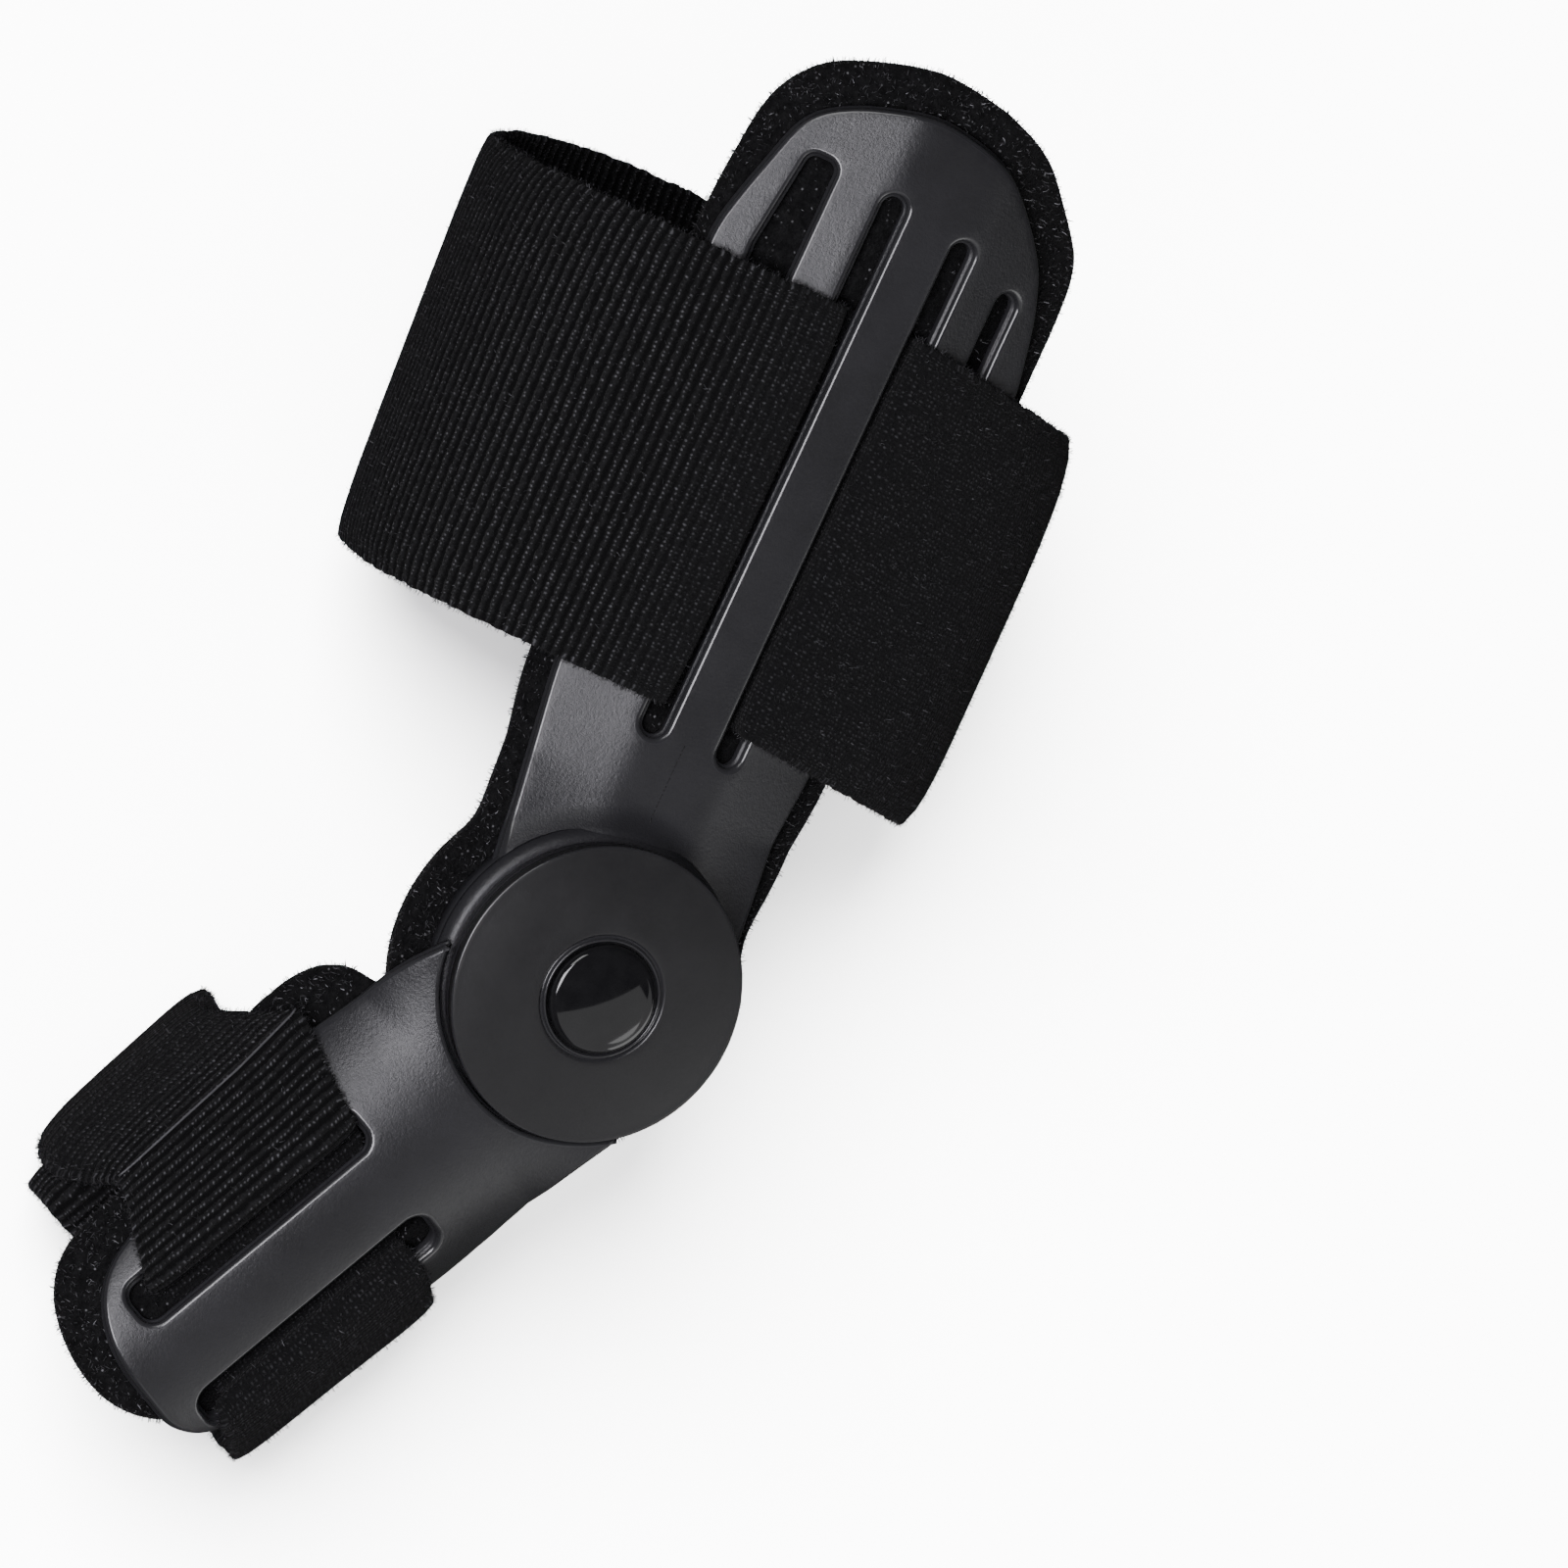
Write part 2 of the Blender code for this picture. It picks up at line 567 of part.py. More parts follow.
def toe_route(start):
    """The toe strap's route at one place of its width, as corners (across, height, radius, shift along the arm as a
    share of the strap's skew). It passes both slots and laps over itself: its outer end lies under the loop, its
    inner end in it."""
    side = strap_pass(TOE_BAR_HALF, TOE_SLOT_WIDTH)
    low = under_bar(TOE_CREST, TOE_SHELL, toe_bar_drop())
    lift = STRAP_LIFT + STRAP_THICKNESS / 2

    def over(degrees, proud, radius, shift):
        arch = 1 / toe_bend((start + shift * TOE_STRAP_SKEW) / TOE_ARM_LENGTH)
        angle = math.radians(degrees)
        reach = arch + lift + proud
        return TOE_CREST_SHIFT + reach * math.sin(angle), TOE_CREST - arch + reach * math.cos(angle), radius, shift

    def low_at(share_across, layers, radius, shift):
        across = share_across * TOE_LOOP_HALF
        return across, on_floor(-start - shift * TOE_STRAP_SKEW, across, -BEND, layers), radius, shift

    def level(share_across, share_down, radius, shift):
        across = share_across * TOE_LOOP_HALF
        floor = floor_height(-start - shift * TOE_STRAP_SKEW, across, -BEND)
        return across, TOE_CREST + share_down * (floor - TOE_CREST), radius, shift

    rim = over(21, 0, 0, 0)[1]
    return [
        low_at(-0.30, 0, 0, 0.90),
        low_at(0.84, 0, 0.0050, 0.60),
        level(0.96, 0.62, 0.0120, 0.55),
        over(58, 0.0008, CORNER_RADIUS, -0.60),
        over(48, 0.0003, 0, -0.50),
        over(39, 0, 0, -0.30),
        over(30, 0, 0, -0.10),
        (TOE_CREST_SHIFT + side, rim, CORNER_RADIUS, 0),
        (TOE_CREST_SHIFT + side, low, CORNER_RADIUS, 0),
        (TOE_CREST_SHIFT - side, low, CORNER_RADIUS, 0),
        (TOE_CREST_SHIFT - side, rim, CORNER_RADIUS, 0),
        over(-30, 0, 0, 0.10),
        over(-39, 0, 0, 0.25),
        over(-48, 0, 0, 0.50),
        over(-60, 0.0004, 0.0050, 0.75),
        level(-1.04, 0.60, 0.0120, 1.20),
        low_at(-0.90, 0, 0.0060, 1.20),
        low_at(-0.48, 0, 0.0030, 1.00),
        low_at(-0.34, 1.15, 0.0030, 0.95),
        low_at(0.68, 1.15, 0.0045, 0.60),
        level(0.82, 0.72, 0.0060, 0.55),
        level(0.76, 0.56, 0.0024, 0.40),
        level(0.32, 0.58, 0, 0.20),
    ]


def toe_strap():
    lines = []
    for share in (0, 0.33, 0.67, 1):
        start = TOE_STRAP_START + TOE_STRAP_WIDTH * share
        route = toe_route(start)
        shifts = [corner[3] * TOE_STRAP_SKEW for corner in route]
        path = rounded([corner[:3] for corner in route], 4, False)
        lines.append([(-start - shifts[index], across, height) for across, height, index in path])
    return sheet_object("toe_strap", lines[::-1], False, STRAP_THICKNESS, 0)


def helper(made):
    """A cutter, or a shape that is joined to a piece: kept out of the render."""
    CUTTERS.objects.link(made)
    made.hide_render = True
    made.display_type = "WIRE"
    return made


def shown(made, parent, material, smooth_below):
    PARTS.objects.link(made)
    made.parent = parent
    made.data.materials.append(material)
    made.data.shade_smooth()
    made.data.set_sharp_from_angle(angle=math.radians(smooth_below))
    for step in made.modifiers:
        if step.type == "BOOLEAN":
            step.object.parent = parent
    return made


def pivot(name, parent, rotation):
    made = bpy.data.objects.new(name, None)
    PARTS.objects.link(made)
    made.parent = parent
    made.rotation_euler = rotation
    return made


def stand_on_floor(root, pieces):
    """Moves the whole so that its lowest points lie at height 0, and its box is centred over the origin."""
    bpy.context.view_layer.update()
    graph = bpy.context.evaluated_depsgraph_get()
    corners = []
    for piece in pieces:
        evaluated = piece.evaluated_get(graph)
        corners += [evaluated.matrix_world @ vertex.co for vertex in evaluated.data.vertices]
    for axis in (0, 1):
        values = [corner[axis] for corner in corners]
        root.location[axis] -= (min(values) + max(values)) / 2
    root.location.z -= min(corner.z for corner in corners)


clear_scene()
PARTS = collection("bunion_corrector", True)
CUTTERS = collection("cutters", False)
plastic = finish("satin_plastic", PLASTIC, 0.42)
gloss = finish("gloss_plastic", GLOSS, 0.08)
foam = finish("foam_pad", FOAM, 0.95)
knit = finish("knitted_strap", KNIT, 0.90)
resting = pivot("resting", None, (0, -REST_TILT, 0))
toe_pivot = pivot("toe_pivot", resting, (0, 0, -BEND))
pieces = [
    shown(foot_arm(), resting, plastic, 35),
    shown(foot_pad(), resting, foam, 50),
    shown(foot_strap(), resting, knit, 50),
    shown(toe_arm(), toe_pivot, plastic, 35),
    shown(hinge_disc(), toe_pivot, plastic, 30),
    shown(hinge_rivet(), toe_pivot, gloss, 30),
    shown(toe_pad(), toe_pivot, foam, 50),
    shown(toe_strap(), toe_pivot, knit, 50),
]
stand_on_floor(resting, pieces)
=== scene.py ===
import json
import math

import bpy
import numpy as np
from mathutils import Matrix, Vector, geometry


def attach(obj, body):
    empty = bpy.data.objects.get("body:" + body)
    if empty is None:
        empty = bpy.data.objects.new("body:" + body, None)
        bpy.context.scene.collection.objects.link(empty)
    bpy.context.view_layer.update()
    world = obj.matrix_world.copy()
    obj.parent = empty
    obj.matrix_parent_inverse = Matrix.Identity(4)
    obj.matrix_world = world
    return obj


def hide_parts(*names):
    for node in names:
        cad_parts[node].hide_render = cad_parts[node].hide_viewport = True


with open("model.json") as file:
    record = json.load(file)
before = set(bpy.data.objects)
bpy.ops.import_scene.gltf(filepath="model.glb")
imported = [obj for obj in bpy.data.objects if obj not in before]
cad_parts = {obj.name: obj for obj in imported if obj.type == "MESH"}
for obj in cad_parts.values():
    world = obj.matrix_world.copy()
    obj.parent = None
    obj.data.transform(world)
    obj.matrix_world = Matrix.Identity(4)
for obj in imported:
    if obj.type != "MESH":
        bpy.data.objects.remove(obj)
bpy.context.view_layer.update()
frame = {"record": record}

# Lie of the splint: it is set out from its hinge, X to the heel end of the foot arm, Y to the top of the foot
# and Z out through the disc. The toe arm is bent down from that line. Sizes are in millimetres until a piece is
# in place.
MM = 0.001
BEND = math.radians(27.8)
HINGE = frame["record"]["behaviour"]["joints"][0]
out_of_disc = Vector(HINGE["axis"]).normalized()
to_dorsal = Vector((0, 1, 0))
to_heel = to_dorsal.cross(out_of_disc)
hinge_lie = Matrix((to_heel, to_dorsal, out_of_disc)).transposed()
FOOT_SEAT = Matrix.Translation(Vector(HINGE["pos_m"])) @ hinge_lie.to_4x4()
TOE_SEAT = FOOT_SEAT @ Matrix.Rotation(-BEND, 4, "Z")

# Studio: a white floor that runs out to a white cove, lit by its own soft sun. Neither throws light back on the
# splint, which is lit by a soft box on its dorsal side, a weaker one over the heel end and two large dim
# panels.
SPLINT_MIDDLE = Vector((0.0, 0.0, 0.035))
COVE_RADIUS, COVE_HEIGHT, COVE_SIDES = 5.0, 5.0, 48
OVER_HEEL_END = (0.32, 0.58, 0.74)


def plain_finish(name, values):
    """A material that is the same all over."""
    made = bpy.data.materials.new(name)
    made.use_nodes = True
    for socket, value in values.items():
        made.node_tree.nodes["Principled BSDF"].inputs[socket].default_value = value
    return made


def stage_piece(name, points, faces, material):
    """A piece of the studio that the camera sees, but that casts no light back."""
    mesh = bpy.data.meshes.new(name)
    mesh.from_pydata(points, [], faces)
    mesh.materials.append(material)
    made = bpy.data.objects.new(name, mesh)
    bpy.context.scene.collection.objects.link(made)
    made.visible_diffuse = False
    made.visible_glossy = False
    return made


def light(name, kind, power, stand):
    """A light that shines from the side of its stand. Its power is in watts, or a sun's strength."""
    data = bpy.data.lights.new(name, kind)
    data.energy = power
    made = bpy.data.objects.new(name, data)
    bpy.context.scene.collection.objects.link(made)
    made.rotation_euler = (-Vector(stand)).to_track_quat("-Z", "Y").to_euler()
    return made


def soft_box(name, stand, size, power, tint=(1.0, 1.0, 1.0)):
    """A soft box that stands off the middle of the splint and faces it."""
    made = light(name, "AREA", power, stand)
    made.location = SPLINT_MIDDLE + Vector(stand)
    made.data.shape = "RECTANGLE"
    made.data.size, made.data.size_y = size
    made.data.color = tint


def floor_sun(name, stand, spread, strength):
    """A soft sun that lights the floor alone, with the splint's shadow in it."""
    made = light(name, "SUN", strength, stand)
    made.data.angle = math.radians(spread)
    made.light_linking.receiver_collection = floor_only


paper = plain_finish(
    "studio_paper", {"Base Color": (0.93, 0.93, 0.93, 1.0), "Roughness": 1.0, "Specular IOR Level": 0.0}
)
cove_white = plain_finish("cove_white", {"Emission Color": (1.0, 1.0, 1.0, 1.0), "Emission Strength": 11.0})
turns = [2 * math.pi * i / COVE_SIDES for i in range(COVE_SIDES)]
floor_ring = [(math.cos(turn) * COVE_RADIUS, math.sin(turn) * COVE_RADIUS, 0.0) for turn in turns]
wall_top = [(x, y, COVE_HEIGHT) for x, y, _ in floor_ring]
next_corner = [(i + 1) % COVE_SIDES for i in range(COVE_SIDES)]
sides = [(i, j, j + COVE_SIDES, i + COVE_SIDES) for i, j in enumerate(next_corner)]
ceiling = tuple(range(COVE_SIDES, 2 * COVE_SIDES))
studio_floor = stage_piece("studio_floor", floor_ring, [tuple(range(COVE_SIDES))], paper)
studio_cove = stage_piece("studio_cove", floor_ring + wall_top, [*sides, ceiling], cove_white)
studio_cove.visible_shadow = False
studio_cove.visible_transmission = False

floor_only = bpy.data.collections.new("floor_only")
floor_only.objects.link(studio_floor)
floor_sun("floor_sun", OVER_HEEL_END, 44, 40.0)
floor_sun("floor_fill", (0.0, 0.0, 1.0), 120, 8.0)
soft_box("dorsal_box", (-0.17, 0.36, 0.54), (0.34, 0.34), 4.4, (0.96, 0.94, 1.0))
soft_box("heel_box", OVER_HEEL_END, (0.40, 0.40), 1.8)
soft_box("dim_panel", (-0.60, -0.51, 0.43), (1.04, 1.04), 1.7)
soft_box("plantar_panel", (-0.37, -0.76, 0.31), (0.60, 0.40), 1.2)

# The room round the stage is dim above the floor's edge and bright below it, as a lit floor is.
room = bpy.data.worlds.new("dim_room")
bpy.context.scene.world = room
room.use_nodes = True
seen = room.node_tree.nodes.new("ShaderNodeTexCoord")
upward = room.node_tree.nodes.new("ShaderNodeSeparateXYZ")
floor_glow = room.node_tree.nodes.new("ShaderNodeMapRange")
for socket, value in (("From Min", -0.15), ("From Max", 0.05), ("To Min", 1.5), ("To Max", 0.12)):
    floor_glow.inputs[socket].default_value = value
room.node_tree.links.new(seen.outputs["Generated"], upward.inputs["Vector"])
room.node_tree.links.new(upward.outputs["Z"], floor_glow.inputs["Value"])
room.node_tree.links.new(floor_glow.outputs["Result"], room.node_tree.nodes["Background"].inputs["Strength"])

# Camera: it looks at the disc's side from slightly dorsal, with the foot arm running up to the right in the
# frame.
STANDOFF, FRAME_WIDTH = 900, 203.6
AIM_RIGHT, AIM_UP = 24.12, 27.48
LOOKS_FROM = Vector((0.081, 0.415, 0.906))
UP_THE_FRAME = Vector((0.9033, 0.3534, -0.243))
FILM = 36.0
lens = bpy.data.cameras.new("photo_camera")
lens.sensor_width = FILM
lens.lens = FILM * STANDOFF / FRAME_WIDTH
lens.clip_start, lens.clip_end = 0.05, 10.0
photo_camera = bpy.data.objects.new("photo_camera", lens)
bpy.context.scene.collection.objects.link(photo_camera)
cam_back = (hinge_lie @ LOOKS_FROM).normalized()
cam_right = (hinge_lie @ UP_THE_FRAME).cross(cam_back).normalized()
cam_up = cam_back.cross(cam_right)
aim = Vector(HINGE["pos_m"]) + (AIM_RIGHT * cam_right + AIM_UP * cam_up) * MM
turned_to = Matrix((cam_right, cam_up, cam_back)).transposed().to_4x4()
photo_camera.matrix_world = Matrix.Translation(aim + cam_back * STANDOFF * MM) @ turned_to
bpy.context.scene.camera = photo_camera

# Foot arm: one satin moulding of black plastic, 2 mm thick, with a flat spine and two wings that bend down
# round the foot. Four slots are moulded through it. Its edge is rounded on top and steps out to a thin flange
# at the back.
FOOT_LENGTH, FOOT_HALF = 121.3, 26.2
FOOT_CREST, FOOT_WALL = -6.8, 2.0
FOOT_ROWS = np.array((
    # along, dorsal, plantar, curve
    (0.040, 0.700, 0.730, 0.00),
    (0.132, 0.690, 0.732, 0.45),
    (0.210, 0.740, 0.742, 0.85),
    (0.297, 0.800, 0.812, 1.00),
    (0.420, 0.845, 0.870, 0.95),
    (0.544, 0.890, 0.925, 0.95),
    (0.670, 0.945, 0.985, 0.98),
    (0.760, 0.990, 1.010, 0.99),
    (0.800, 0.998, 0.965, 1.00),
    (0.850, 0.943, 0.895, 1.00),
    (0.900, 0.876, 0.775, 1.00),
    (0.932, 0.838, 0.620, 1.00),
    (0.954, 0.770, 0.490, 1.00),
    (0.977, 0.588, 0.332, 1.00),
    (0.992, 0.382, 0.134, 1.00),
    (1.000, 0.230, -0.100, 1.00),
))
WING_TURN = math.radians(22.5)
WING_FROM, WING_TO = 3.8, 9.6
WING_STEPS = 24
EDGE_ROUND, BACK_ROUND, FLANGE = 0.65, 0.30, 0.35
ROUND_ROWS = 4
SLOT_START = 33.0
HUB_HOLLOW_FROM, HUB_HOLLOW_WIDE, HUB_HOLLOW_RISE = 20.4, 3.6, 2.0


def eased(value):
    value = np.clip(value, 0.0, 1.0)
    return value * value * (3.0 - 2.0 * value)


def foot_lay(places):
    """Places (along, arc over the surface, depth below it) of the foot arm as points in the hinge's frame."""
    along, arc, depth = np.asarray(places, float).T
    curve = np.interp(along, FOOT_ROWS[:, 0] * FOOT_LENGTH, FOOT_ROWS[:, 3])
    steps = (np.arange(WING_STEPS) + 0.5) / WING_STEPS
    bend = WING_TO - WING_FROM
    turns = WING_TURN * eased((np.abs(arc)[:, None] * steps - WING_FROM) / bend) * curve[:, None]
    last = WING_TURN * eased((np.abs(arc) - WING_FROM) / bend) * curve
    across = arc * np.cos(turns).mean(1) - np.sign(arc) * depth * np.sin(last)
    height = FOOT_CREST - np.abs(arc) * np.sin(turns).mean(1) - depth * np.cos(last)
    return np.stack([along, across, height], 1)


def evenly(points, spacing):
    """A closed line through points, cut again into even steps."""
    points = np.asarray(points, float)
    points = np.vstack([points, points[:1]])
    lengths = np.concatenate([[0], np.cumsum(np.linalg.norm(np.diff(points, axis=0), axis=1))])
    count = max(8, int(round(lengths[-1] / spacing)))
    at = np.linspace(0, lengths[-1], count + 1)[:-1]
    return np.stack([np.interp(at, lengths, points[:, axis]) for axis in range(points.shape[1])], 1)


def softened(loop, reach):
    """A closed line with its corners eased over so many steps."""
    steps = range(-3 * reach, 3 * reach + 1)
    weights = [math.exp(-0.5 * (step / reach) ** 2) for step in steps]
    return sum(weight * np.roll(loop, step, axis=0) for weight, step in zip(weights, steps)) / sum(weights)


def outline_of(rows, length, half, direction):
    """An arm's or pad's outline from its rows, in (along, arc), counter-clockwise."""
    along = rows[:, 0] * length * direction
    dorsal = np.stack([along, rows[:, 1] * half], 1)
    plantar = np.stack([along, -rows[:, 2] * half], 1)
    if direction > 0:
        return np.vstack([plantar, dorsal[::-1]])
    return np.vstack([plantar[::-1], dorsal])


def turned_corner(before, here, after, radius, steps):
    """A corner turned on an arc of its radius: its centre, and the spokes of the arc."""
    to_before = (Vector(before) - Vector(here)).normalized()
    to_after = (Vector(after) - Vector(here)).normalized()
    half = to_before.angle(to_after) / 2
    centre = Vector(here) + (to_before + to_after).normalized() * (radius / math.sin(half))
    first = Vector(here) + to_before * (radius / math.tan(half)) - centre
    last = Vector(here) + to_after * (radius / math.tan(half)) - centre
    return centre, [first.lerp(last, step / steps).normalized() * radius for step in range(steps + 1)]


def slot_loop(corners, radius):
    """A slot with round ends through its corners, clockwise, so that the plastic lies on its left."""
    points = []
    for index, here in enumerate(corners):
        after = corners[(index + 1) % len(corners)]
        centre, spokes = turned_corner(corners[index - 1], here, after, radius, 6)
        points += [tuple(centre + spoke) for spoke in spokes]
    loop = evenly(points, 0.45)
    area = np.sum(loop[:, 0] * np.roll(loop[:, 1], -1) - np.roll(loop[:, 0], -1) * loop[:, 1])
    return loop if area < 0 else loop[::-1]


def is_inside(points, loop):
    x, y = points[:, 0][:, None], points[:, 1][:, None]
    ax, ay = loop[:, 0][None], loop[:, 1][None]
    bx, by = np.roll(loop[:, 0], -1)[None], np.roll(loop[:, 1], -1)[None]
    crosses = ((ay > y) != (by > y)) & (x < (bx - ax) * (y - ay) / (by - ay + 1e-12) + ax)
    return crosses.sum(1) % 2 == 1


def on_plastic(points, rims):
    """Which points lie inside the outline and outside every slot."""
    inside = is_inside(points, rims[0])
    for slot in rims[1:]:
        inside &= ~is_inside(points, slot)
    return inside


def far_from(points, others, reach):
    return np.array([np.min(np.sum((others - point) ** 2, 1)) for point in points]) > reach**2


def edge_rows(wall, top, back, flange):
    """The edge of a moulding from its face to its back, as (inset, depth)."""
    round_over = np.linspace(0, math.pi / 2, ROUND_ROWS + 1)
    rows = [(top * (1 - math.sin(a)), top * (1 - math.cos(a))) for a in round_over]
    if flange:
        rows += [(0, wall * 0.48), (-flange * 0.8, wall * 0.50), (-flange, wall * 0.58)]
    for a in np.linspace(0, math.pi / 2, 4):
        rows.append((-flange + back * (1 - math.cos(a)), wall - back + back * math.sin(a)))
    return rows


def edge_strips(loops, rows):
    """The edges round the outline and the slots, the faces of their upper round and the rings at both ends."""
    places, faces, rounded, face_rings, back_rings = [], [], [], [], []
    for loop in loops:
        run = np.roll(loop, -1, axis=0) - np.roll(loop, 1, axis=0)
        run /= np.linalg.norm(run, axis=1)[:, None]
        inward = np.stack([-run[:, 1], run[:, 0]], 1)
        count, base = len(loop), len(places)
        for inset, depth in rows:
            places += [(*point, depth) for point in loop + inward * inset]
        for row in range(len(rows) - 1):
            upper, lower = base + row * count, base + (row + 1) * count
            if row < ROUND_ROWS:
                rounded += range(len(faces), len(faces) + count)
            for i in range(count):
                j = (i + 1) % count
                faces.append((upper + i, lower + i, lower + j, upper + j))
        face_rings.append(range(base, base + count))
        back_rings.append(range(lower, lower + count))
    return places, faces, rounded, face_rings, back_rings


def filling(rims, spacing, close):
    """Places spread over the face between its edges, with the close ones where the face turns quickly."""
    low, high = rims[0].min(0), rims[0].max(0)
    columns = np.arange(low[0] + spacing / 2, high[0], spacing)
    lines = np.arange(low[1] + spacing / 2, high[1], spacing)
    grid = np.stack(np.meshgrid(columns, lines), -1).reshape(-1, 2)
    grid = grid[on_plastic(grid, rims)]
    if len(close):
        close = close[is_inside(close, rims[0])]
        grid = np.vstack([grid[far_from(grid, close, 0.6 * spacing)], close])
    return grid[far_from(grid, np.vstack(rims), 0.5 * spacing)]


def triangles_over(rims, grid):
    """The places between the edges, and the triangles that join them and the edges."""
    edges, base = [], 0
    for rim in rims:
        edges += [(base + i, base + (i + 1) % len(rim)) for i in range(len(rim))]
        base += len(rim)
    flat = [Vector(point) for point in np.vstack([*rims, grid])]
    found = geometry.delaunay_2d_cdt(flat, edges, [], 0, 1e-7)
    corners = np.array([tuple(corner) for corner in found[0]])
    triangles = np.array(found[2])
    return corners[base:], triangles[on_plastic(corners[triangles].mean(1), rims)]


def seated(points, seat):
    """Points in millimetres of a hinge frame, put in their place in the row frame."""
    matrix = np.array(seat)
    return np.asarray(points) * MM @ matrix[:3, :3].T + matrix[:3, 3]


def solid_object(name, points, faces, material, edge=None, edge_faces=()):
    mesh = bpy.data.meshes.new(name)
    mesh.from_pydata([tuple(point) for point in points], [], faces)
    mesh.update()
    mesh.shade_smooth()
    made = bpy.data.objects.new(name, mesh)
    bpy.context.scene.collection.objects.link(made)
    mesh.materials.append(material)
    if edge:
        mesh.materials.append(edge)
        for face in edge_faces:
            mesh.polygons[face].material_index = 1
    return made


def moulded_sheet(name, loops, rows, lay, seat, spacing, material, sink=None, edge=None, close=()):
    """A curved sheet with rounded edges: its outline and then the slots through it, all in (along, arc)."""
    places, faces, rounded, face_rings, back_rings = edge_strips(loops, rows)
    rims = [np.array([places[i][:2] for i in ring]) for ring in face_rings]
    inner, triangles = triangles_over(rims, filling(rims, spacing, close))
    for rings, depth, turned_over in ((face_rings, rows[0][1], False), (back_rings, rows[-1][1], True)):
        index = [i for ring in rings for i in ring]
        index += range(len(places), len(places) + len(inner))
        places += [(*point, depth) for point in inner]
        for triangle in triangles:
            face = tuple(index[corner] for corner in triangle)
            faces.append(face[::-1] if turned_over else face)
    places = np.array(places)
    if sink is not None:
        places[:, 2] += sink(places)
    return solid_object(name, seated(lay(places), seat), faces, material, edge, rounded)


class Finish:
    """A new material, and the nodes that make up its finish."""

    def __init__(self, name):
        self.material = bpy.data.materials.new(name)
        self.material.use_nodes = True
        self.tree = self.material.node_tree
        self.shader = self.tree.nodes["Principled BSDF"]
        self.where = self.node("ShaderNodeTexCoord").outputs["Object"]

    def put(self, value, socket):
        """A socket takes another node's output, a number or a colour."""
        if isinstance(value, bpy.types.NodeSocket):
            self.tree.links.new(value, socket)
        elif isinstance(value, tuple):
            socket.default_value = (*value, 1.0)
        else:
            socket.default_value = value

    def node(self, kind, **settings):
        made = self.tree.nodes.new(kind)
        for key, value in settings.items():
            if key in made.inputs:
                self.put(value, made.inputs[key])
            else:
                setattr(made, key, value)
        return made

    def give(self, socket, value):
        self.put(value, self.shader.inputs[socket])

    def speckle(self, size, detail=2.0, rough=0.6):
        """Noise whose grains are about that many millimetres across."""
        noise = {"Vector": self.where, "Scale": 1.0 / (size * MM), "Detail": detail, "Roughness": rough}
        return self.node("ShaderNodeTexNoise", **noise).outputs["Fac"]

    def cells(self, where, scale, **settings):
        """Small cells: how far each place is from its cell's middle, and a number for each cell."""
        made = self.node("ShaderNodeTexVoronoi", Vector=where, Scale=scale, **settings)
        pick = self.node("ShaderNodeSeparateColor", Color=made.outputs["Color"])
        return made.outputs["Distance"], pick.outputs["Red"]

    def between(self, value, low, high, from_low=0.3, from_high=0.7):
        ends = {"From Min": from_low, "From Max": from_high, "To Min": low, "To Max": high}
        return self.node("ShaderNodeMapRange", Value=value, **ends).outputs["Result"]

    def blended(self, share, first, second):
        return self.node("ShaderNodeMix", data_type="RGBA", Factor=share, A=first, B=second).outputs["Result"]

    def worked(self, kind, *values):
        made = self.node("ShaderNodeMath", operation=kind)
        for slot, value in enumerate(values):
            self.put(value, made.inputs[slot])
        return made.outputs["Value"]

    def raised(self, height, strength, distance):
        bump = self.node("ShaderNodeBump", Height=height, Strength=strength, Distance=distance * MM)
        self.give("Normal", bump.outputs["Normal"])


def satin_plastic(name, dark, light_tone, rough, grain_height):
    """Black moulding plastic with the fine spark grain of its tool, a little uneven in shine and shade."""
    finish = Finish(name)
    cloud = finish.speckle(14.0, 3.0)
    grain = finish.speckle(0.45, 3.0, 0.65)
    fine = finish.speckle(0.20, 1.0)
    finish.give("Base Color", finish.blended(finish.between(cloud, 0, 1), dark, light_tone))
    shine = finish.between(cloud, rough - 0.11, rough - 0.04)
    finish.give("Roughness", finish.worked("MULTIPLY_ADD", grain, 0.16, shine))
    finish.raised(finish.worked("MULTIPLY_ADD", fine, 0.4, grain), 0.9, grain_height)
    finish.give("Specular IOR Level", 0.5)
    finish.give("IOR", 1.5)
    return finish


def hub_rings():
    """Close rings of places round the hub, where the arm's face turns up to meet it."""
    turns = np.linspace(-0.9, 0.9, 120)
    return np.array([(r * math.cos(a), r * math.sin(a)) for r in np.arange(20.6, 24.4, 0.55) for a in turns])


def foot_face_lay(places):
    """The foot arm, with its face turned up in a hollow round the dorsal side of the hub."""
    points = foot_lay(places)
    away = np.hypot(points[:, 0], points[:, 1])
    share = eased((points[:, 1] + 11.0) / 12.0)
    rise = np.clip(1 - (away - HUB_HOLLOW_FROM) / HUB_HOLLOW_WIDE, 0, 1) ** 1.6
    points[:, 2] += HUB_HOLLOW_RISE * rise * share
    return points


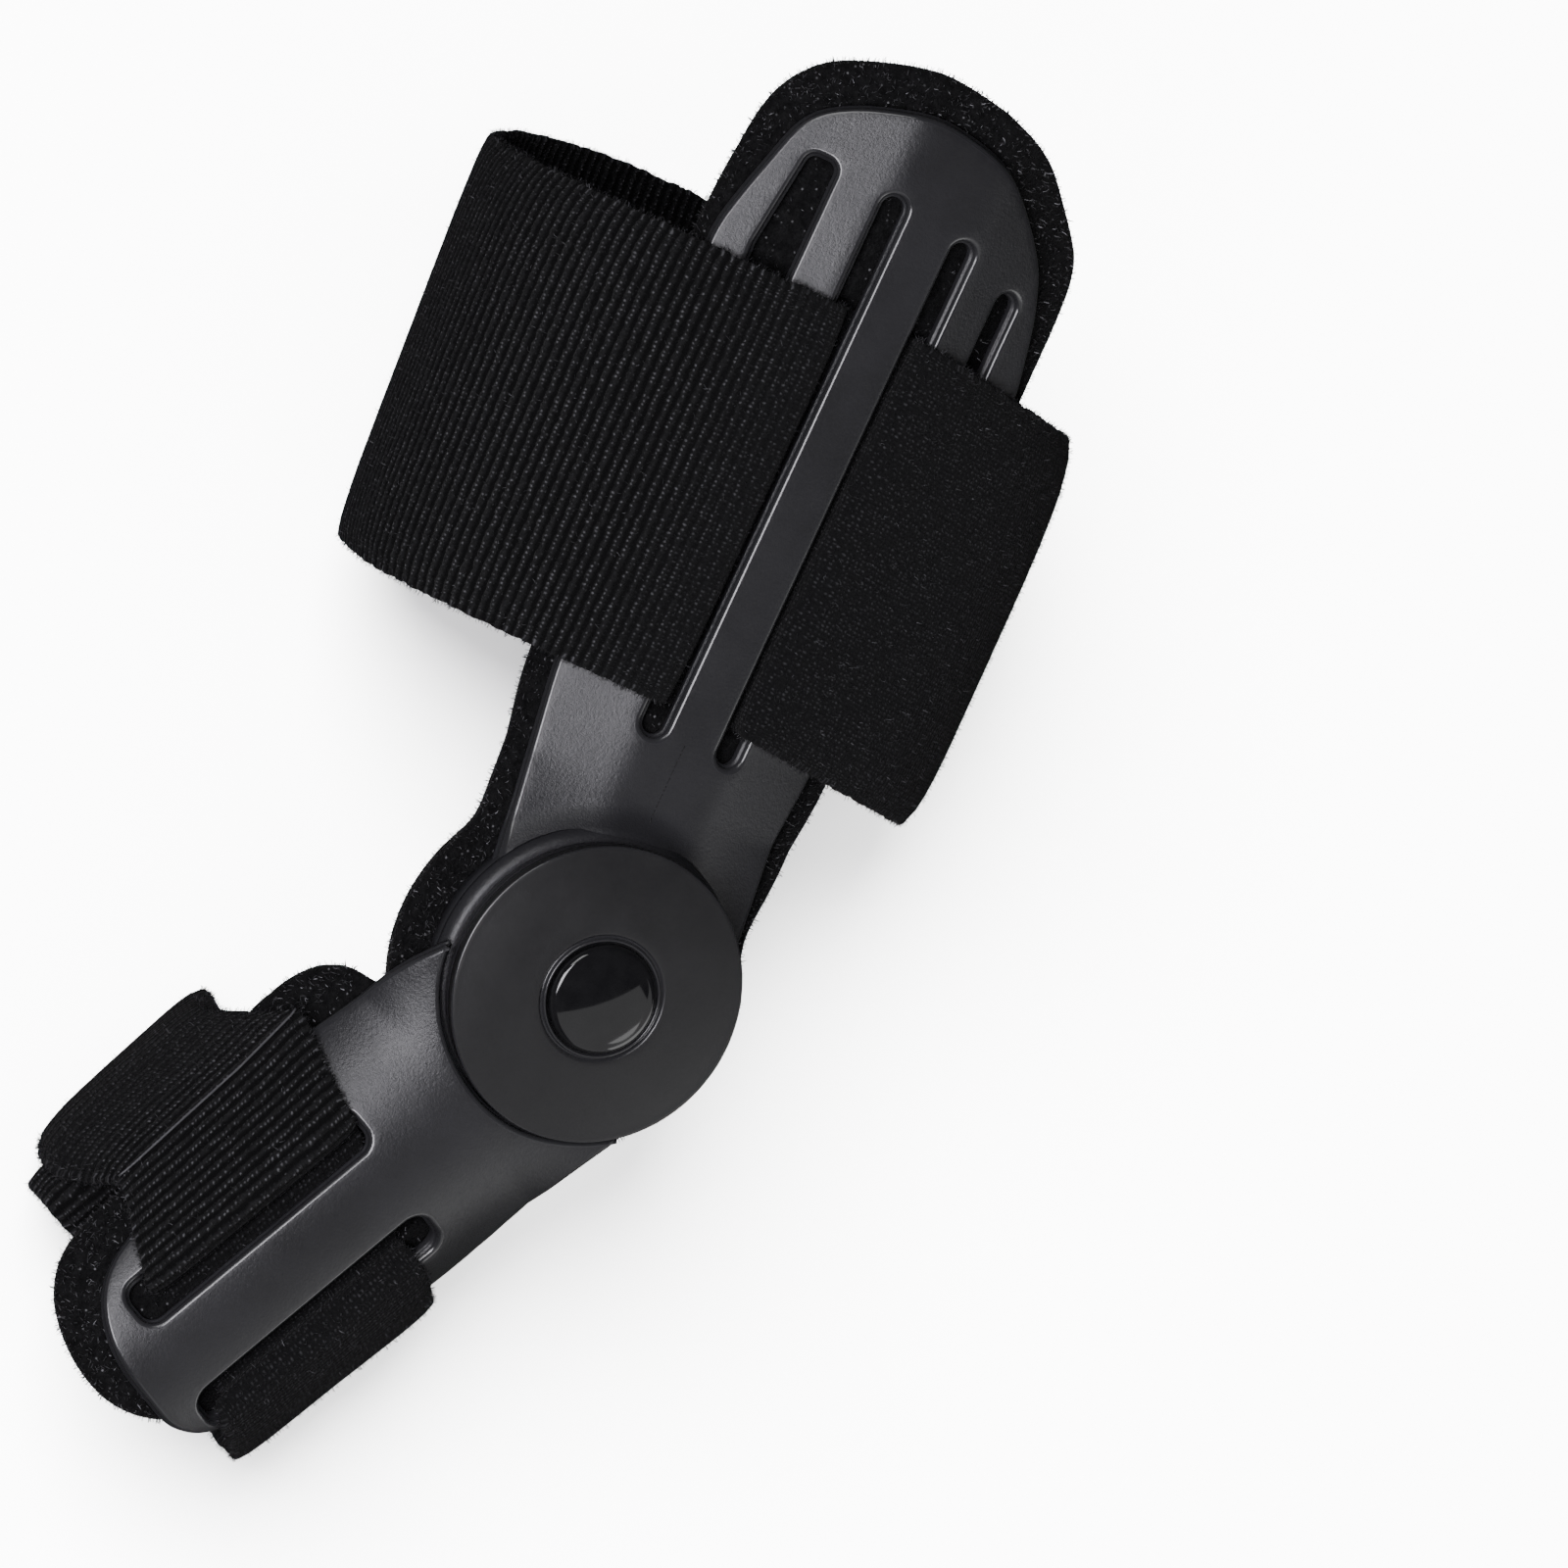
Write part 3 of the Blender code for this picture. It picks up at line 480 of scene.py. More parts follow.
arm_satin = satin_plastic("arm_satin", (0.019, 0.019, 0.021), (0.026, 0.026, 0.029), 0.38, 0.060).material
# Edge faces: glossier than the arm, with a base colour a little lighter, which is a painted highlight along the
# rims.
polished_edge_highlight = satin_plastic("edge_highlight_satin", (0.026, 0.026, 0.028), (0.034, 0.034, 0.037), 0.20, 0.010)
polished_edge_highlight.give("Specular IOR Level", 0.8)
edge_highlight_satin = polished_edge_highlight.material
foot_edge = softened(evenly(outline_of(FOOT_ROWS, FOOT_LENGTH, FOOT_HALF, 1), 0.6), 3)
foot_slots = [
    slot_loop([(SLOT_START, 3.8), (110.3, 3.8), (110.3, 7.9), (SLOT_START, 7.9)], 1.95),
    slot_loop([(SLOT_START, -3.8), (108.6, -3.8), (108.6, -7.9), (SLOT_START, -7.9)], 1.95),
    slot_loop([(60.0, 14.6), (110.8, 14.6), (110.8, 19.0), (97.0, 20.7), (60.0, 19.1)], 1.6),
    slot_loop([(60.0, -14.9), (104.8, -14.9), (104.8, -19.3), (60.0, -19.3)], 2.0),
]
foot_moulding = moulded_sheet(
    "foot_moulding",
    [foot_edge, *foot_slots],
    edge_rows(FOOT_WALL, EDGE_ROUND, BACK_ROUND, FLANGE),
    foot_face_lay,
    FOOT_SEAT,
    1.1,
    arm_satin,
    edge=edge_highlight_satin,
    close=hub_rings(),
)
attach(foot_moulding, "foot")
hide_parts("foot_arm")

# Witness line of the foot arm's moulding: a fine broken line along the spine, between the inner slots and the
# hub. The mould's two halves met there. It is a thin strip that lies 0.02 mm above the face; its near-black
# colour is painted shade in place of the line's fine step.
LINE_START, LINE_STEP, DASH_LONG = 22.6, 1.15, 0.80
LINE_LOW, LINE_HIGH, LINE_PROUD, LINE_SUNK = 0.75, 0.87, -0.02, 0.05
BOX_FACES = ((0, 1, 2, 3), (7, 6, 5, 4), (0, 4, 5, 1), (1, 5, 6, 2), (2, 6, 7, 3), (3, 7, 4, 0))
# Near-black colour of the strip: painted shade standing in for the parting line's step.
witness_painted_shade = satin_plastic("witness_painted_shade", (0.004, 0.004, 0.004), (0.008, 0.008, 0.008), 0.6, 0.02).material
dashes, dash_faces = [], []
for begin in np.arange(LINE_START, SLOT_START, LINE_STEP):
    dash_faces += [tuple(len(dashes) + corner for corner in face) for face in BOX_FACES]
    end = begin + DASH_LONG
    for depth in (LINE_PROUD, LINE_SUNK):
        dashes += [(x, arc, depth) for x, arc in (
            (begin, LINE_LOW), (end, LINE_LOW), (end, LINE_HIGH), (begin, LINE_HIGH)
        )]
dashes = seated(foot_face_lay(dashes), FOOT_SEAT)
witness_line = solid_object("witness_line", dashes, dash_faces, witness_painted_shade)
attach(witness_line, "foot")


# Hub of the foot arm: a round boss under the disc that carries the rivet. It is moulded with the arm and stands
# 2 mm above it, so that its wall shows round the disc as the seat.
def lathed(name, profile, seat, material, edge=None, edge_spans=(), rounds=192):
    """A profile of (radius, height) turned round the hinge's axis."""
    angles = np.arange(rounds) * 2 * math.pi / rounds
    points, faces, rings, rounded = [], [], [], []
    for radius, height in profile:
        count = rounds if radius else 1
        rings.append(range(len(points), len(points) + count))
        points += [(radius * math.cos(a), radius * math.sin(a), height) for a in angles[:count]]
    for span, (upper, lower) in enumerate(zip(rings, rings[1:])):
        if span in edge_spans:
            rounded += range(len(faces), len(faces) + rounds)
        for i in range(rounds):
            j = (i + 1) % rounds
            if len(upper) == 1:
                faces.append((upper[0], lower[i], lower[j]))
            elif len(lower) == 1:
                faces.append((upper[i], lower[0], upper[j]))
            else:
                faces.append((upper[i], lower[i], lower[j], upper[j]))
    return solid_object(name, seated(points, seat), faces, material, edge, rounded)


hub_seat = [(3.4, -4.65), (19.6, -4.65), (20.1, -4.80), (20.6, -5.30), (21.0, -5.95), (21.1, -6.45)]
hub_parting = [(20.98, -6.55), (21.1, -6.65)]
hub_back = [(21.15, -8.6), (20.95, -8.8), (5.8, -8.8), (5.8, -7.1), (3.4, -7.1), (3.4, -4.65)]
foot_boss = lathed("foot_boss", hub_seat + hub_parting + hub_back, FOOT_SEAT, arm_satin)
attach(foot_boss, "foot")

# Toe arm: the same plastic, 2.2 mm thick, bent much more closely so that it lies round the big toe. Two wide
# slots leave a bar down its middle. At the hinge it runs up to the disc, and its dorsal edge sweeps into the
# hub's wall.
TOE_LENGTH, TOE_HALF = 77.9, 23.0
TOE_CREST, TOE_SHIFT, TOE_WALL = -1.0, -2.4, 2.2
TOE_BEND_RADIUS = 22.5
TOE_KEEPS_OFF = 20.5
TOE_ROWS = np.array((
    # along, dorsal, plantar, curve
    (0.100, 0.860, 0.715, 0.10),
    (0.140, 0.880, 0.720, 0.18),
    (0.215, 0.940, 0.745, 0.44),
    (0.262, 0.955, 0.785, 0.62),
    (0.300, 0.970, 0.820, 0.78),
    (0.350, 0.990, 0.885, 0.86),
    (0.410, 1.020, 0.975, 0.92),
    (0.470, 1.015, 1.020, 0.94),
    (0.530, 0.995, 1.030, 0.96),
    (0.650, 0.970, 1.000, 0.98),
    (0.760, 0.880, 0.950, 1.00),
    (0.840, 0.750, 0.840, 1.00),
    (0.890, 0.715, 0.760, 1.00),
    (0.935, 0.630, 0.640, 1.00),
    (0.968, 0.490, 0.540, 1.00),
    (0.988, 0.340, 0.440, 1.00),
    (1.000, 0.150, 0.310, 1.00),
))


def toe_curve(along):
    """How much the toe arm is bent there, in turn for each millimetre of arc."""
    return np.interp(along, TOE_ROWS[:, 0], TOE_ROWS[:, 3]) / TOE_BEND_RADIUS


def held_to_arm(along, arc, shrink=1.0):
    """Arcs of the toe arm or of its pad, held to the shell's own edge."""
    held_to = np.minimum(along, 0.9)
    dorsal = np.interp(held_to, TOE_ROWS[:, 0], TOE_ROWS[:, 1]) * TOE_HALF
    plantar = np.interp(held_to, TOE_ROWS[:, 0], TOE_ROWS[:, 2]) * TOE_HALF
    return np.clip(arc, -plantar * shrink, dorsal * shrink)


def toe_lay(places):
    """Places (along, arc, depth) of the toe arm as points in its own frame. It runs straight past its edge."""
    x, arc, depth = np.asarray(places, float).T
    along = np.minimum(-x / TOE_LENGTH, 1.0)
    bend = toe_curve(along)
    held = held_to_arm(along, arc)
    turn = bend * held
    across = np.sin(turn) / bend + (arc - held) * np.cos(turn) - depth * np.sin(turn)
    drop = (1 - np.cos(turn)) / bend + (arc - held) * np.sin(turn) + depth * np.cos(turn)
    return np.stack([x, TOE_SHIFT + across, TOE_CREST - drop], 1)


def kept_off_axis(loop, radius):
    """An outline of the toe arm or its pad, with its hinge end moved out to a circle round the axis."""
    moved = loop.copy()
    for index, (x, arc) in enumerate(loop):
        across = TOE_SHIFT + arc * 0.985
        if abs(across) < radius:
            moved[index, 0] = min(x, -math.sqrt(radius**2 - across**2))
    return moved


toe_edge = evenly(outline_of(TOE_ROWS, TOE_LENGTH, TOE_HALF, -1), 0.5)
toe_edge = evenly(kept_off_axis(softened(toe_edge, 3), TOE_KEEPS_OFF), 0.5)
toe_edge = kept_off_axis(toe_edge, TOE_KEEPS_OFF)
toe_slots = [
    slot_loop([(-34.3, 5.7), (-34.3, 12.3), (-72.0, 12.1), (-72.0, 5.7)], 2.2),
    slot_loop([(-35.2, -5.9), (-35.2, -13.6), (-73.6, -13.2), (-73.6, -5.9)], 2.6),
]
toe_moulding = moulded_sheet(
    "toe_moulding",
    [toe_edge, *toe_slots],
    edge_rows(TOE_WALL, EDGE_ROUND, BACK_ROUND, FLANGE),
    toe_lay,
    TOE_SEAT,
    1.0,
    arm_satin,
    edge=edge_highlight_satin,
)
toe_hub_wall = [(19.7, -2.25), (19.75, -2.3), (19.5, -4.3), (19.4, -4.4)]
toe_hub_bore = [(3.4, -4.4), (3.4, -2.25)]
toe_hub = lathed("toe_hub", [toe_hub_bore[1], *toe_hub_wall, *toe_hub_bore], TOE_SEAT, arm_satin)
for piece in (toe_moulding, toe_hub):
    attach(piece, "toe")
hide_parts("toe_arm")

# Hinge disc: a separate satin cap, very slightly domed, with a sharp small round at its rim and a sunk ring
# where the button sits. It turns with the toe arm.
DISC_RADIUS, DISC_RIM_TOP, DISC_DOME = 20.0, 0.08, 1.8
DISC_ROUND = 0.30
disc_satin = satin_plastic("disc_satin", (0.017, 0.017, 0.018), (0.021, 0.021, 0.022), 0.41, 0.022).material
seat_wall = [(3.3, 0.9), (7.62, 0.9), (7.66, 1.55), (7.80, 1.66), (7.98, 1.62), (8.05, 1.45), (8.10, 0.95)]
seat_groove = [(8.42, 0.95), (8.50, 1.30), (8.62, 1.42)]
dome = [(radius, DISC_DOME * (1 - (radius / DISC_RADIUS) ** 2)) for radius in np.linspace(8.9, 19.4, 12)]
rim = [
    (DISC_RADIUS - DISC_ROUND * (1 - math.sin(a)), DISC_RIM_TOP - DISC_ROUND * (1 - math.cos(a)))
    for a in np.linspace(0, math.pi / 2, 6)[1:]
]
underside = [(19.8, -2.1), (19.7, -2.2), (3.3, -2.2), seat_wall[0]]
seat_spans, rim_spans = range(1, 9), range(22, 26)
disc_cap = lathed(
    "disc_cap",
    seat_wall + seat_groove + dome + rim + underside,
    TOE_SEAT,
    disc_satin,
    edge_highlight_satin,
    (*seat_spans, *rim_spans),
)
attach(disc_cap, "toe")
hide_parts("hinge_disc")

# Hinge rivet: a polished black button with a low dome, on a pin that goes through both hubs to a flat foot
# behind. It is moulded in one with its pin, and its rim turns down into the disc's sunk ring.
BUTTON_TOP, BUTTON_DOME, BUTTON_FLAT, BUTTON_ROUND = 3.6, 0.95, 6.3, 1.0
button_gloss = Finish("button_gloss")
haze = button_gloss.speckle(2.5, 2.0)
depth_of_black = button_gloss.between(haze, 0, 1)
black = button_gloss.blended(depth_of_black, (0.010, 0.010, 0.011), (0.014, 0.014, 0.015))
button_gloss.give("Base Color", black)
button_gloss.give("Roughness", button_gloss.between(haze, 0.05, 0.10))
button_gloss.raised(haze, 0.25, 0.01)
button_gloss.give("Coat Weight", 0.6)
button_gloss.give("Coat Roughness", 0.04)
button_dome = [(r, BUTTON_TOP - BUTTON_DOME * (r / 6.6) ** 2) for r in np.linspace(0, BUTTON_FLAT, 12)]
button_round = [
    (BUTTON_FLAT + BUTTON_ROUND * math.sin(a), 1.73 + BUTTON_ROUND * math.cos(a))
    for a in np.linspace(0.30, math.pi / 2, 8)
]
pin = [(7.30, 1.35), (7.22, 1.20), (3.0, 1.18), (3.0, -7.2), (5.4, -7.3), (5.4, -8.4), (0, -8.5)]
hinge_button = lathed("hinge_button", button_dome + button_round + pin, TOE_SEAT, button_gloss.material)
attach(hinge_button, "toe")
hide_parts("hinge_rivet")

# Foot pad: a foam sheet faced with black looped pile, stuck under the foot arm. It stands out past the arm all
# round and ends in a round lobe behind the hinge. Under the bar it is pressed down where the strap passes.
FOOT_PAD_ROWS = np.array((
    # along, dorsal, plantar
    (0.115, 0.771, 0.790),
    (0.145, 0.789, 0.840),
    (0.200, 0.815, 0.918),
    (0.275, 0.890, 1.004),
    (0.420, 0.950, 1.060),
    (0.600, 1.000, 1.100),
    (0.780, 1.030, 1.110),
    (0.845, 1.025, 1.110),
    (0.900, 1.003, 1.092),
    (0.932, 0.990, 1.040),
    (0.960, 0.955, 0.897),
    (0.985, 0.890, 0.760),
    (1.010, 0.780, 0.620),
    (1.028, 0.590, 0.416),
    (1.040, 0.430, 0.140),
    (1.047, 0.300, -0.080),
))
FOOT_PAD_DROP, FOOT_PAD_WALL, FOOT_PAD_ROUND = 2.6, 3.6, 1.2
LOBE_DORSAL, LOBE_PLANTAR, LOBE_SWEEP = 24.3, 22.8, 0.64 * math.pi
PRESS_EASE = 1.2
PILE_SEED = 7
FIBRE_LIE, FIBRE_ROOT = 0.9, 0.08
UNDER_ARM_SHARE = 0.12


def pile_fabric(name, dark, light_tone, shine):
    """Short looped pile on foam: clumps of loops up to a millimetre across; the few that catch the light are
    painted in as bright specks, painted glints.
    """
    finish = Finish(name)
    clump = finish.speckle(1.1, 3.0, 0.7)
    loop_middle, _ = finish.cells(finish.where, 1.0 / (0.42 * MM))
    glint_cell_middle, pick = finish.cells(finish.where, 1.0 / (0.60 * MM))
    painted_glint_cells = finish.between(pick, 0.0, 1.0, 0.86, 1.0)
    small = finish.between(glint_cell_middle, 1.0, 0.0, 0.10, 0.34)
    shade = finish.blended(finish.between(clump, 0, 1), dark, light_tone)
    # Painted glints: a few small bright specks in the colour stand for shiny loops catching the light.
    finish.give("Base Color", finish.blended(finish.worked("MULTIPLY", painted_glint_cells, small), shade, shine))
    finish.give("Roughness", finish.between(clump, 0.95, 0.75))
    finish.raised(finish.worked("MULTIPLY_ADD", loop_middle, -0.8, clump), 0.9, 0.30)
    finish.give("Sheen Weight", 0.03)
    finish.give("Sheen Roughness", 0.5)
    finish.give("Specular IOR Level", 0.15)
    return finish.material


def fibre_stuff(name, tint):
    """Loose fibre ends. Each has its own shade, kept in the mesh: a random dark tone for most, a painted glint
    for the bright few.
    """
    finish = Finish(name)
    shade = finish.node("ShaderNodeAttribute", attribute_name="shade").outputs["Fac"]
    finish.give("Base Color", finish.blended(shade, (0.0025, 0.0025, 0.003), tint))
    finish.give("Roughness", 0.6)
    finish.give("Specular IOR Level", 0.35)
    return finish.material


def skin_of(piece):
    """The triangles of a piece in the row frame: corners, middles, normals and areas."""
    mesh = piece.data
    mesh.calc_loop_triangles()
    points = np.empty(len(mesh.vertices) * 3, np.float32)
    mesh.vertices.foreach_get("co", points)
    corners = np.empty(len(mesh.loop_triangles) * 3, np.int32)
    mesh.loop_triangles.foreach_get("vertices", corners)
    corners = points.reshape(-1, 3)[corners.reshape(-1, 3)].astype(float)
    cross = np.cross(corners[:, 1] - corners[:, 0], corners[:, 2] - corners[:, 0])
    size = np.linalg.norm(cross, axis=1)
    return corners, corners.mean(1), cross / (size[:, None] + 1e-18), size / 2


def roots_on(piece, per_square_mm, weigh, rng):
    """Even random places on a piece's skin, and the way out of it there."""
    corners, middles, normals, areas = skin_of(piece)
    weights = areas * weigh(middles, normals)
    count = int(weights.sum() / MM**2 * per_square_mm)
    chosen = rng.choice(len(weights), count, p=weights / weights.sum())
    a, b = rng.random(count), rng.random(count)
    over = a + b > 1
    a[over], b[over] = 1 - a[over], 1 - b[over]
    first, second, third = corners[chosen].transpose(1, 0, 2)
    return first + a[:, None] * (second - first) + b[:, None] * (third - first), normals[chosen]


def blades_from(roots, up, length, width, rng):
    """A thin bent blade for each root: four corners of its lower half, and its tip."""
    count = len(roots)
    lean = rng.normal(size=(count, 3))
    lean -= up * np.sum(lean * up, 1)[:, None]
    lean /= np.linalg.norm(lean, axis=1)[:, None]
    side = np.cross(up, lean)
    tall = length * MM * rng.uniform(0.5, 1.2, count)[:, None]
    wide = width * MM * rng.uniform(0.7, 1.3, count)[:, None] / 2
    slant = FIBRE_LIE * rng.uniform(0.4, 1.3, count)[:, None]
    mid = roots + up * tall * 0.55 + lean * tall * 0.35 * slant
    tip = roots + up * tall * 0.75 + lean * tall * 0.95 * slant
    foot = roots - up * FIBRE_ROOT * MM
    return np.stack([foot - side * wide, foot + side * wide, mid + side * wide, mid - side * wide, tip], 1)


def nap(name, piece, per_square_mm, length, width, material, seed, weigh):
    """Fibre ends that stand out of a piece, one in ten of them painted bright as a glint."""
    rng = np.random.default_rng(seed)
    roots, up = roots_on(piece, per_square_mm, weigh, rng)
    blades = blades_from(roots, up, length, width, rng)
    count = len(blades)
    mesh = bpy.data.meshes.new(name)
    mesh.vertices.add(count * 5)
    mesh.vertices.foreach_set("co", blades.reshape(-1))
    base = np.arange(count)[:, None] * 5
    lower_halves = (base + np.array([0, 1, 2, 3])).reshape(-1)
    tips = (base + np.array([3, 2, 4])).reshape(-1)
    mesh.loops.add(count * 7)
    mesh.loops.foreach_set("vertex_index", np.concatenate([lower_halves, tips]))
    mesh.polygons.add(count * 2)
    starts = np.concatenate([np.arange(count) * 4, count * 4 + np.arange(count) * 3])
    mesh.polygons.foreach_set("loop_start", starts)
    mesh.update(calc_edges=True)
    shade = mesh.attributes.new("shade", "FLOAT", "POINT")
    # One fibre in ten is painted bright as a glint; the rest keep a random dark tone.
    fibre_tones_and_glints = np.where(rng.random(count) < 0.10, rng.uniform(0.5, 1.0, count), rng.uniform(0.0, 0.25, count))
    shade.data.foreach_set("value", np.repeat(fibre_tones_and_glints, 5).astype(np.float32))
    made = bpy.data.objects.new(name, mesh)
    bpy.context.scene.collection.objects.link(made)
    mesh.materials.append(material)
    return made


def past_the_arm(seat, lay_of, edge_loop):
    """Fibre ends stand thick where the pad shows past its arm, and thin under the arm and in its slots."""
    inverse = np.array(seat.inverted())
    shadow = lay_of(np.column_stack([edge_loop, np.zeros(len(edge_loop))]))[:, :2] * MM

    def weigh(middles, _):
        local = middles @ inverse[:3, :3].T + inverse[:3, 3]
        return np.where(is_inside(local[:, :2], shadow), UNDER_ARM_SHARE, 1.0)

    return weigh


def foot_pad_lay(places):
    """The pad hangs under the arm's face and follows its wings."""
    along, arc, depth = np.asarray(places, float).T
    stretch = 1 + FOOT_PAD_DROP / 50.0
    return foot_lay(np.stack([along, arc * stretch, depth + FOOT_PAD_DROP], 1))


def pressed(along, arc, depth, half, start, end, sink):
    """How deep a strap presses the upper face of its pad, under the bar of its arm."""
    over_arc = eased((half - np.abs(arc)) / PRESS_EASE)
    over_length = eased((along - start) / PRESS_EASE) * eased((end - along) / PRESS_EASE)
    return over_arc * over_length * sink * (depth < 1.0)


def foot_strap_press(places):
    along, arc, depth = places.T
    return pressed(along, arc, depth, 8.6, 36.6, 96.0, 2.3)


# The last colour is the painted glint of the bright specks.
black_pile = pile_fabric("black_pile", (0.0020, 0.0020, 0.0022), (0.0085, 0.0085, 0.009), (0.20, 0.20, 0.21))
pile_fibre = fibre_stuff("pile_fibre", (0.30, 0.30, 0.32))
lobe = []
for turn in np.linspace(LOBE_SWEEP, -LOBE_SWEEP, 64):
    half = LOBE_DORSAL if math.sin(turn) > 0 else LOBE_PLANTAR
    lobe.append((-LOBE_DORSAL * math.cos(turn), half * math.sin(turn)))
foot_pad_edge = np.vstack([outline_of(FOOT_PAD_ROWS, FOOT_LENGTH, FOOT_HALF, 1), lobe])
foot_lining = moulded_sheet(
    "foot_lining",
    [softened(evenly(foot_pad_edge, 0.6), 3)],
    edge_rows(FOOT_PAD_WALL, FOOT_PAD_ROUND, FOOT_PAD_ROUND, 0),
    foot_pad_lay,
    FOOT_SEAT,
    1.0,
    black_pile,
    foot_strap_press,
)
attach(foot_lining, "foot")
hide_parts("foot_pad")
past_foot_arm = past_the_arm(FOOT_SEAT, foot_lay, foot_edge)
foot_nap = nap("foot_nap", foot_lining, 2.6, 0.75, 0.10, pile_fibre, PILE_SEED, past_foot_arm)
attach(foot_nap, "foot")

# Toe pad: the same foam and pile under the toe arm. It has a broad lobe past the dorsal edge near the hinge and
# a round tip past the end, and it stops short of the foot pad's lobe so that the hinge can turn.
TOE_PAD_ROWS = np.array((
    # along, dorsal, plantar
    (0.200, 0.700, 0.700),
    (0.266, 0.880, 0.780),
    (0.275, 1.040, 0.800),
    (0.290, 1.150, 0.810),
    (0.322, 1.258, 0.850),
    (0.355, 1.312, 0.890),
    (0.400, 1.355, 0.940),
    (0.460, 1.360, 0.960),
    (0.520, 1.270, 0.960),
    (0.600, 1.120, 0.950),
    (0.700, 1.020, 0.930),
    (0.820, 0.970, 0.820),
    (0.900, 0.930, 0.680),
    (0.943, 0.905, 0.570),
    (0.978, 0.840, 0.440),
    (1.012, 0.730, 0.300),
    (1.034, 0.590, 0.170),
    (1.047, 0.450, 0.070),
    (1.057, 0.290, -0.070),
))
TOE_PAD_DROP, TOE_PAD_WALL, TOE_PAD_ROUND = 2.8, 4.0, 1.3
TOE_PAD_KEEPS_OFF = 25.6


def toe_pad_lay(places):
    """The pad hangs under the arm's face. Arcs are measured over the pad and turned into the arm's."""
    x, arc, depth = np.asarray(places, float).T
    along = np.minimum(-x / TOE_LENGTH, 1.0)
    shrink = 1 - TOE_PAD_DROP * toe_curve(along)
    held = held_to_arm(along, arc, shrink)
    return toe_lay(np.stack([x, held / shrink + (arc - held), depth + TOE_PAD_DROP], 1))


def toe_strap_press(places):
    x, arc, depth = places.T
    return pressed(-x, arc, depth, 9.6, 33.4, 66.8, 2.6)


toe_pad_edge = evenly(outline_of(TOE_PAD_ROWS, TOE_LENGTH, TOE_HALF, -1), 0.5)
toe_lining = moulded_sheet(
    "toe_lining",
    [evenly(kept_off_axis(softened(toe_pad_edge, 3), TOE_PAD_KEEPS_OFF), 0.5)],
    edge_rows(TOE_PAD_WALL, TOE_PAD_ROUND, TOE_PAD_ROUND, 0),
    toe_pad_lay,
    TOE_SEAT,
    1.0,
    black_pile,
    toe_strap_press,
)
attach(toe_lining, "toe")
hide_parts("toe_pad")
past_toe_arm = past_the_arm(TOE_SEAT, toe_lay, toe_edge)
toe_nap = nap("toe_nap", toe_lining, 3.0, 0.80, 0.10, pile_fibre, PILE_SEED + 1, past_toe_arm)
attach(toe_nap, "toe")

# Foot strap: a wide ribbed elastic knit, 1.8 mm thick. It passes under the foot arm's bar, comes up through the
# two inner slots and hangs as one open loop. Its dorsal half shows the ribs, its plantar half is brushed to a
# nap.
STRAP_HALF, STRAP_CLEAR = 0.9, 0.6
RIB_PITCH, RIB_STEPS, RIB_RISE = 1.42, 6, 0.23
KNIT_PRESS, RAGGED, SELVEDGE_TUCK = 0.10, 0.16, 0.75
COURSES, SMOOTH_REACH = 5, 8
FOOT_STRAP_FROM, FOOT_STRAP_WIDE = 37.8, 56.6
FOOT_LOOP_HALF, FOOT_LOOP_DEPTH = 44.5, 66.5
FOOT_STRAP_SKEW, FOOT_STRAP_LEAN = 4.2, 6.2
FOOT_STRAP_SIDE = 5.85
LOOP_SQUARENESS = 2.8
REST_SLOPE = out_of_disc.x / -out_of_disc.z
BRUSHED_SHARE, SELVEDGE_SHARE = 0.25, 5.0


def bent(corners, steps, closed):
    """A path through corners (across, height, radius, shift along the arm), each turned on its radius."""
    path = []
    count = len(corners)
    for index, (across, height, radius, shift) in enumerate(corners):
        if radius == 0 or (not closed and index in (0, count - 1)):
            path.append((across, height, shift))
            continue
        before, after = corners[index - 1][:2], corners[(index + 1) % count][:2]
        centre, spokes = turned_corner(before, (across, height), after, radius, steps)
        path += [(centre.x + spoke.x, centre.y + spoke.y, shift) for spoke in spokes]
    return path


def under_strap(x, across, turn):
    """The height of the floor in the hinge's frame, under a place of a frame turned by that angle."""
    level = -FOOT_LOOP_DEPTH + (FOOT_STRAP_FROM + FOOT_STRAP_WIDE / 2) * REST_SLOPE
    return level - (x * math.cos(turn) - across * math.sin(turn)) * REST_SLOPE


def on_floor(x, across, turn, layers):
    """The height of a strap's middle, with so many layers of strap between it and the floor."""
    lean = math.cos(math.atan(REST_SLOPE))
    return under_strap(x, across, turn) + (2 * STRAP_HALF * (layers + 0.5) + 0.3 * layers + 0.12) / lean


def foot_loop_half(x):
    """The corners of half the loop at one place along the arm: from under the bar, up the slot and round."""
    low = FOOT_CREST - FOOT_WALL - STRAP_CLEAR - STRAP_HALF
    top = FOOT_CREST + STRAP_CLEAR + STRAP_HALF
    middle = (top + under_strap(x, 0, 0)) / 2
    lowest = on_floor(x, 0, 0, 0) - middle
    corners = [(FOOT_STRAP_SIDE, low, 1.6), (FOOT_STRAP_SIDE, top, 2.1)]
    for step in range(1, 25):
        turn = math.pi * (0.055 + 0.945 * step / 24)
        if turn < math.pi / 2:
            height = middle + (top - middle) * math.cos(turn)
        else:
            flat = (1 - abs(math.sin(turn)) ** LOOP_SQUARENESS) ** (1 / LOOP_SQUARENESS)
            height = middle + lowest * min(1, 1.03 * flat)
        corners.append((FOOT_LOOP_HALF * math.sin(turn), height, 0))
    return corners, middle, -lowest


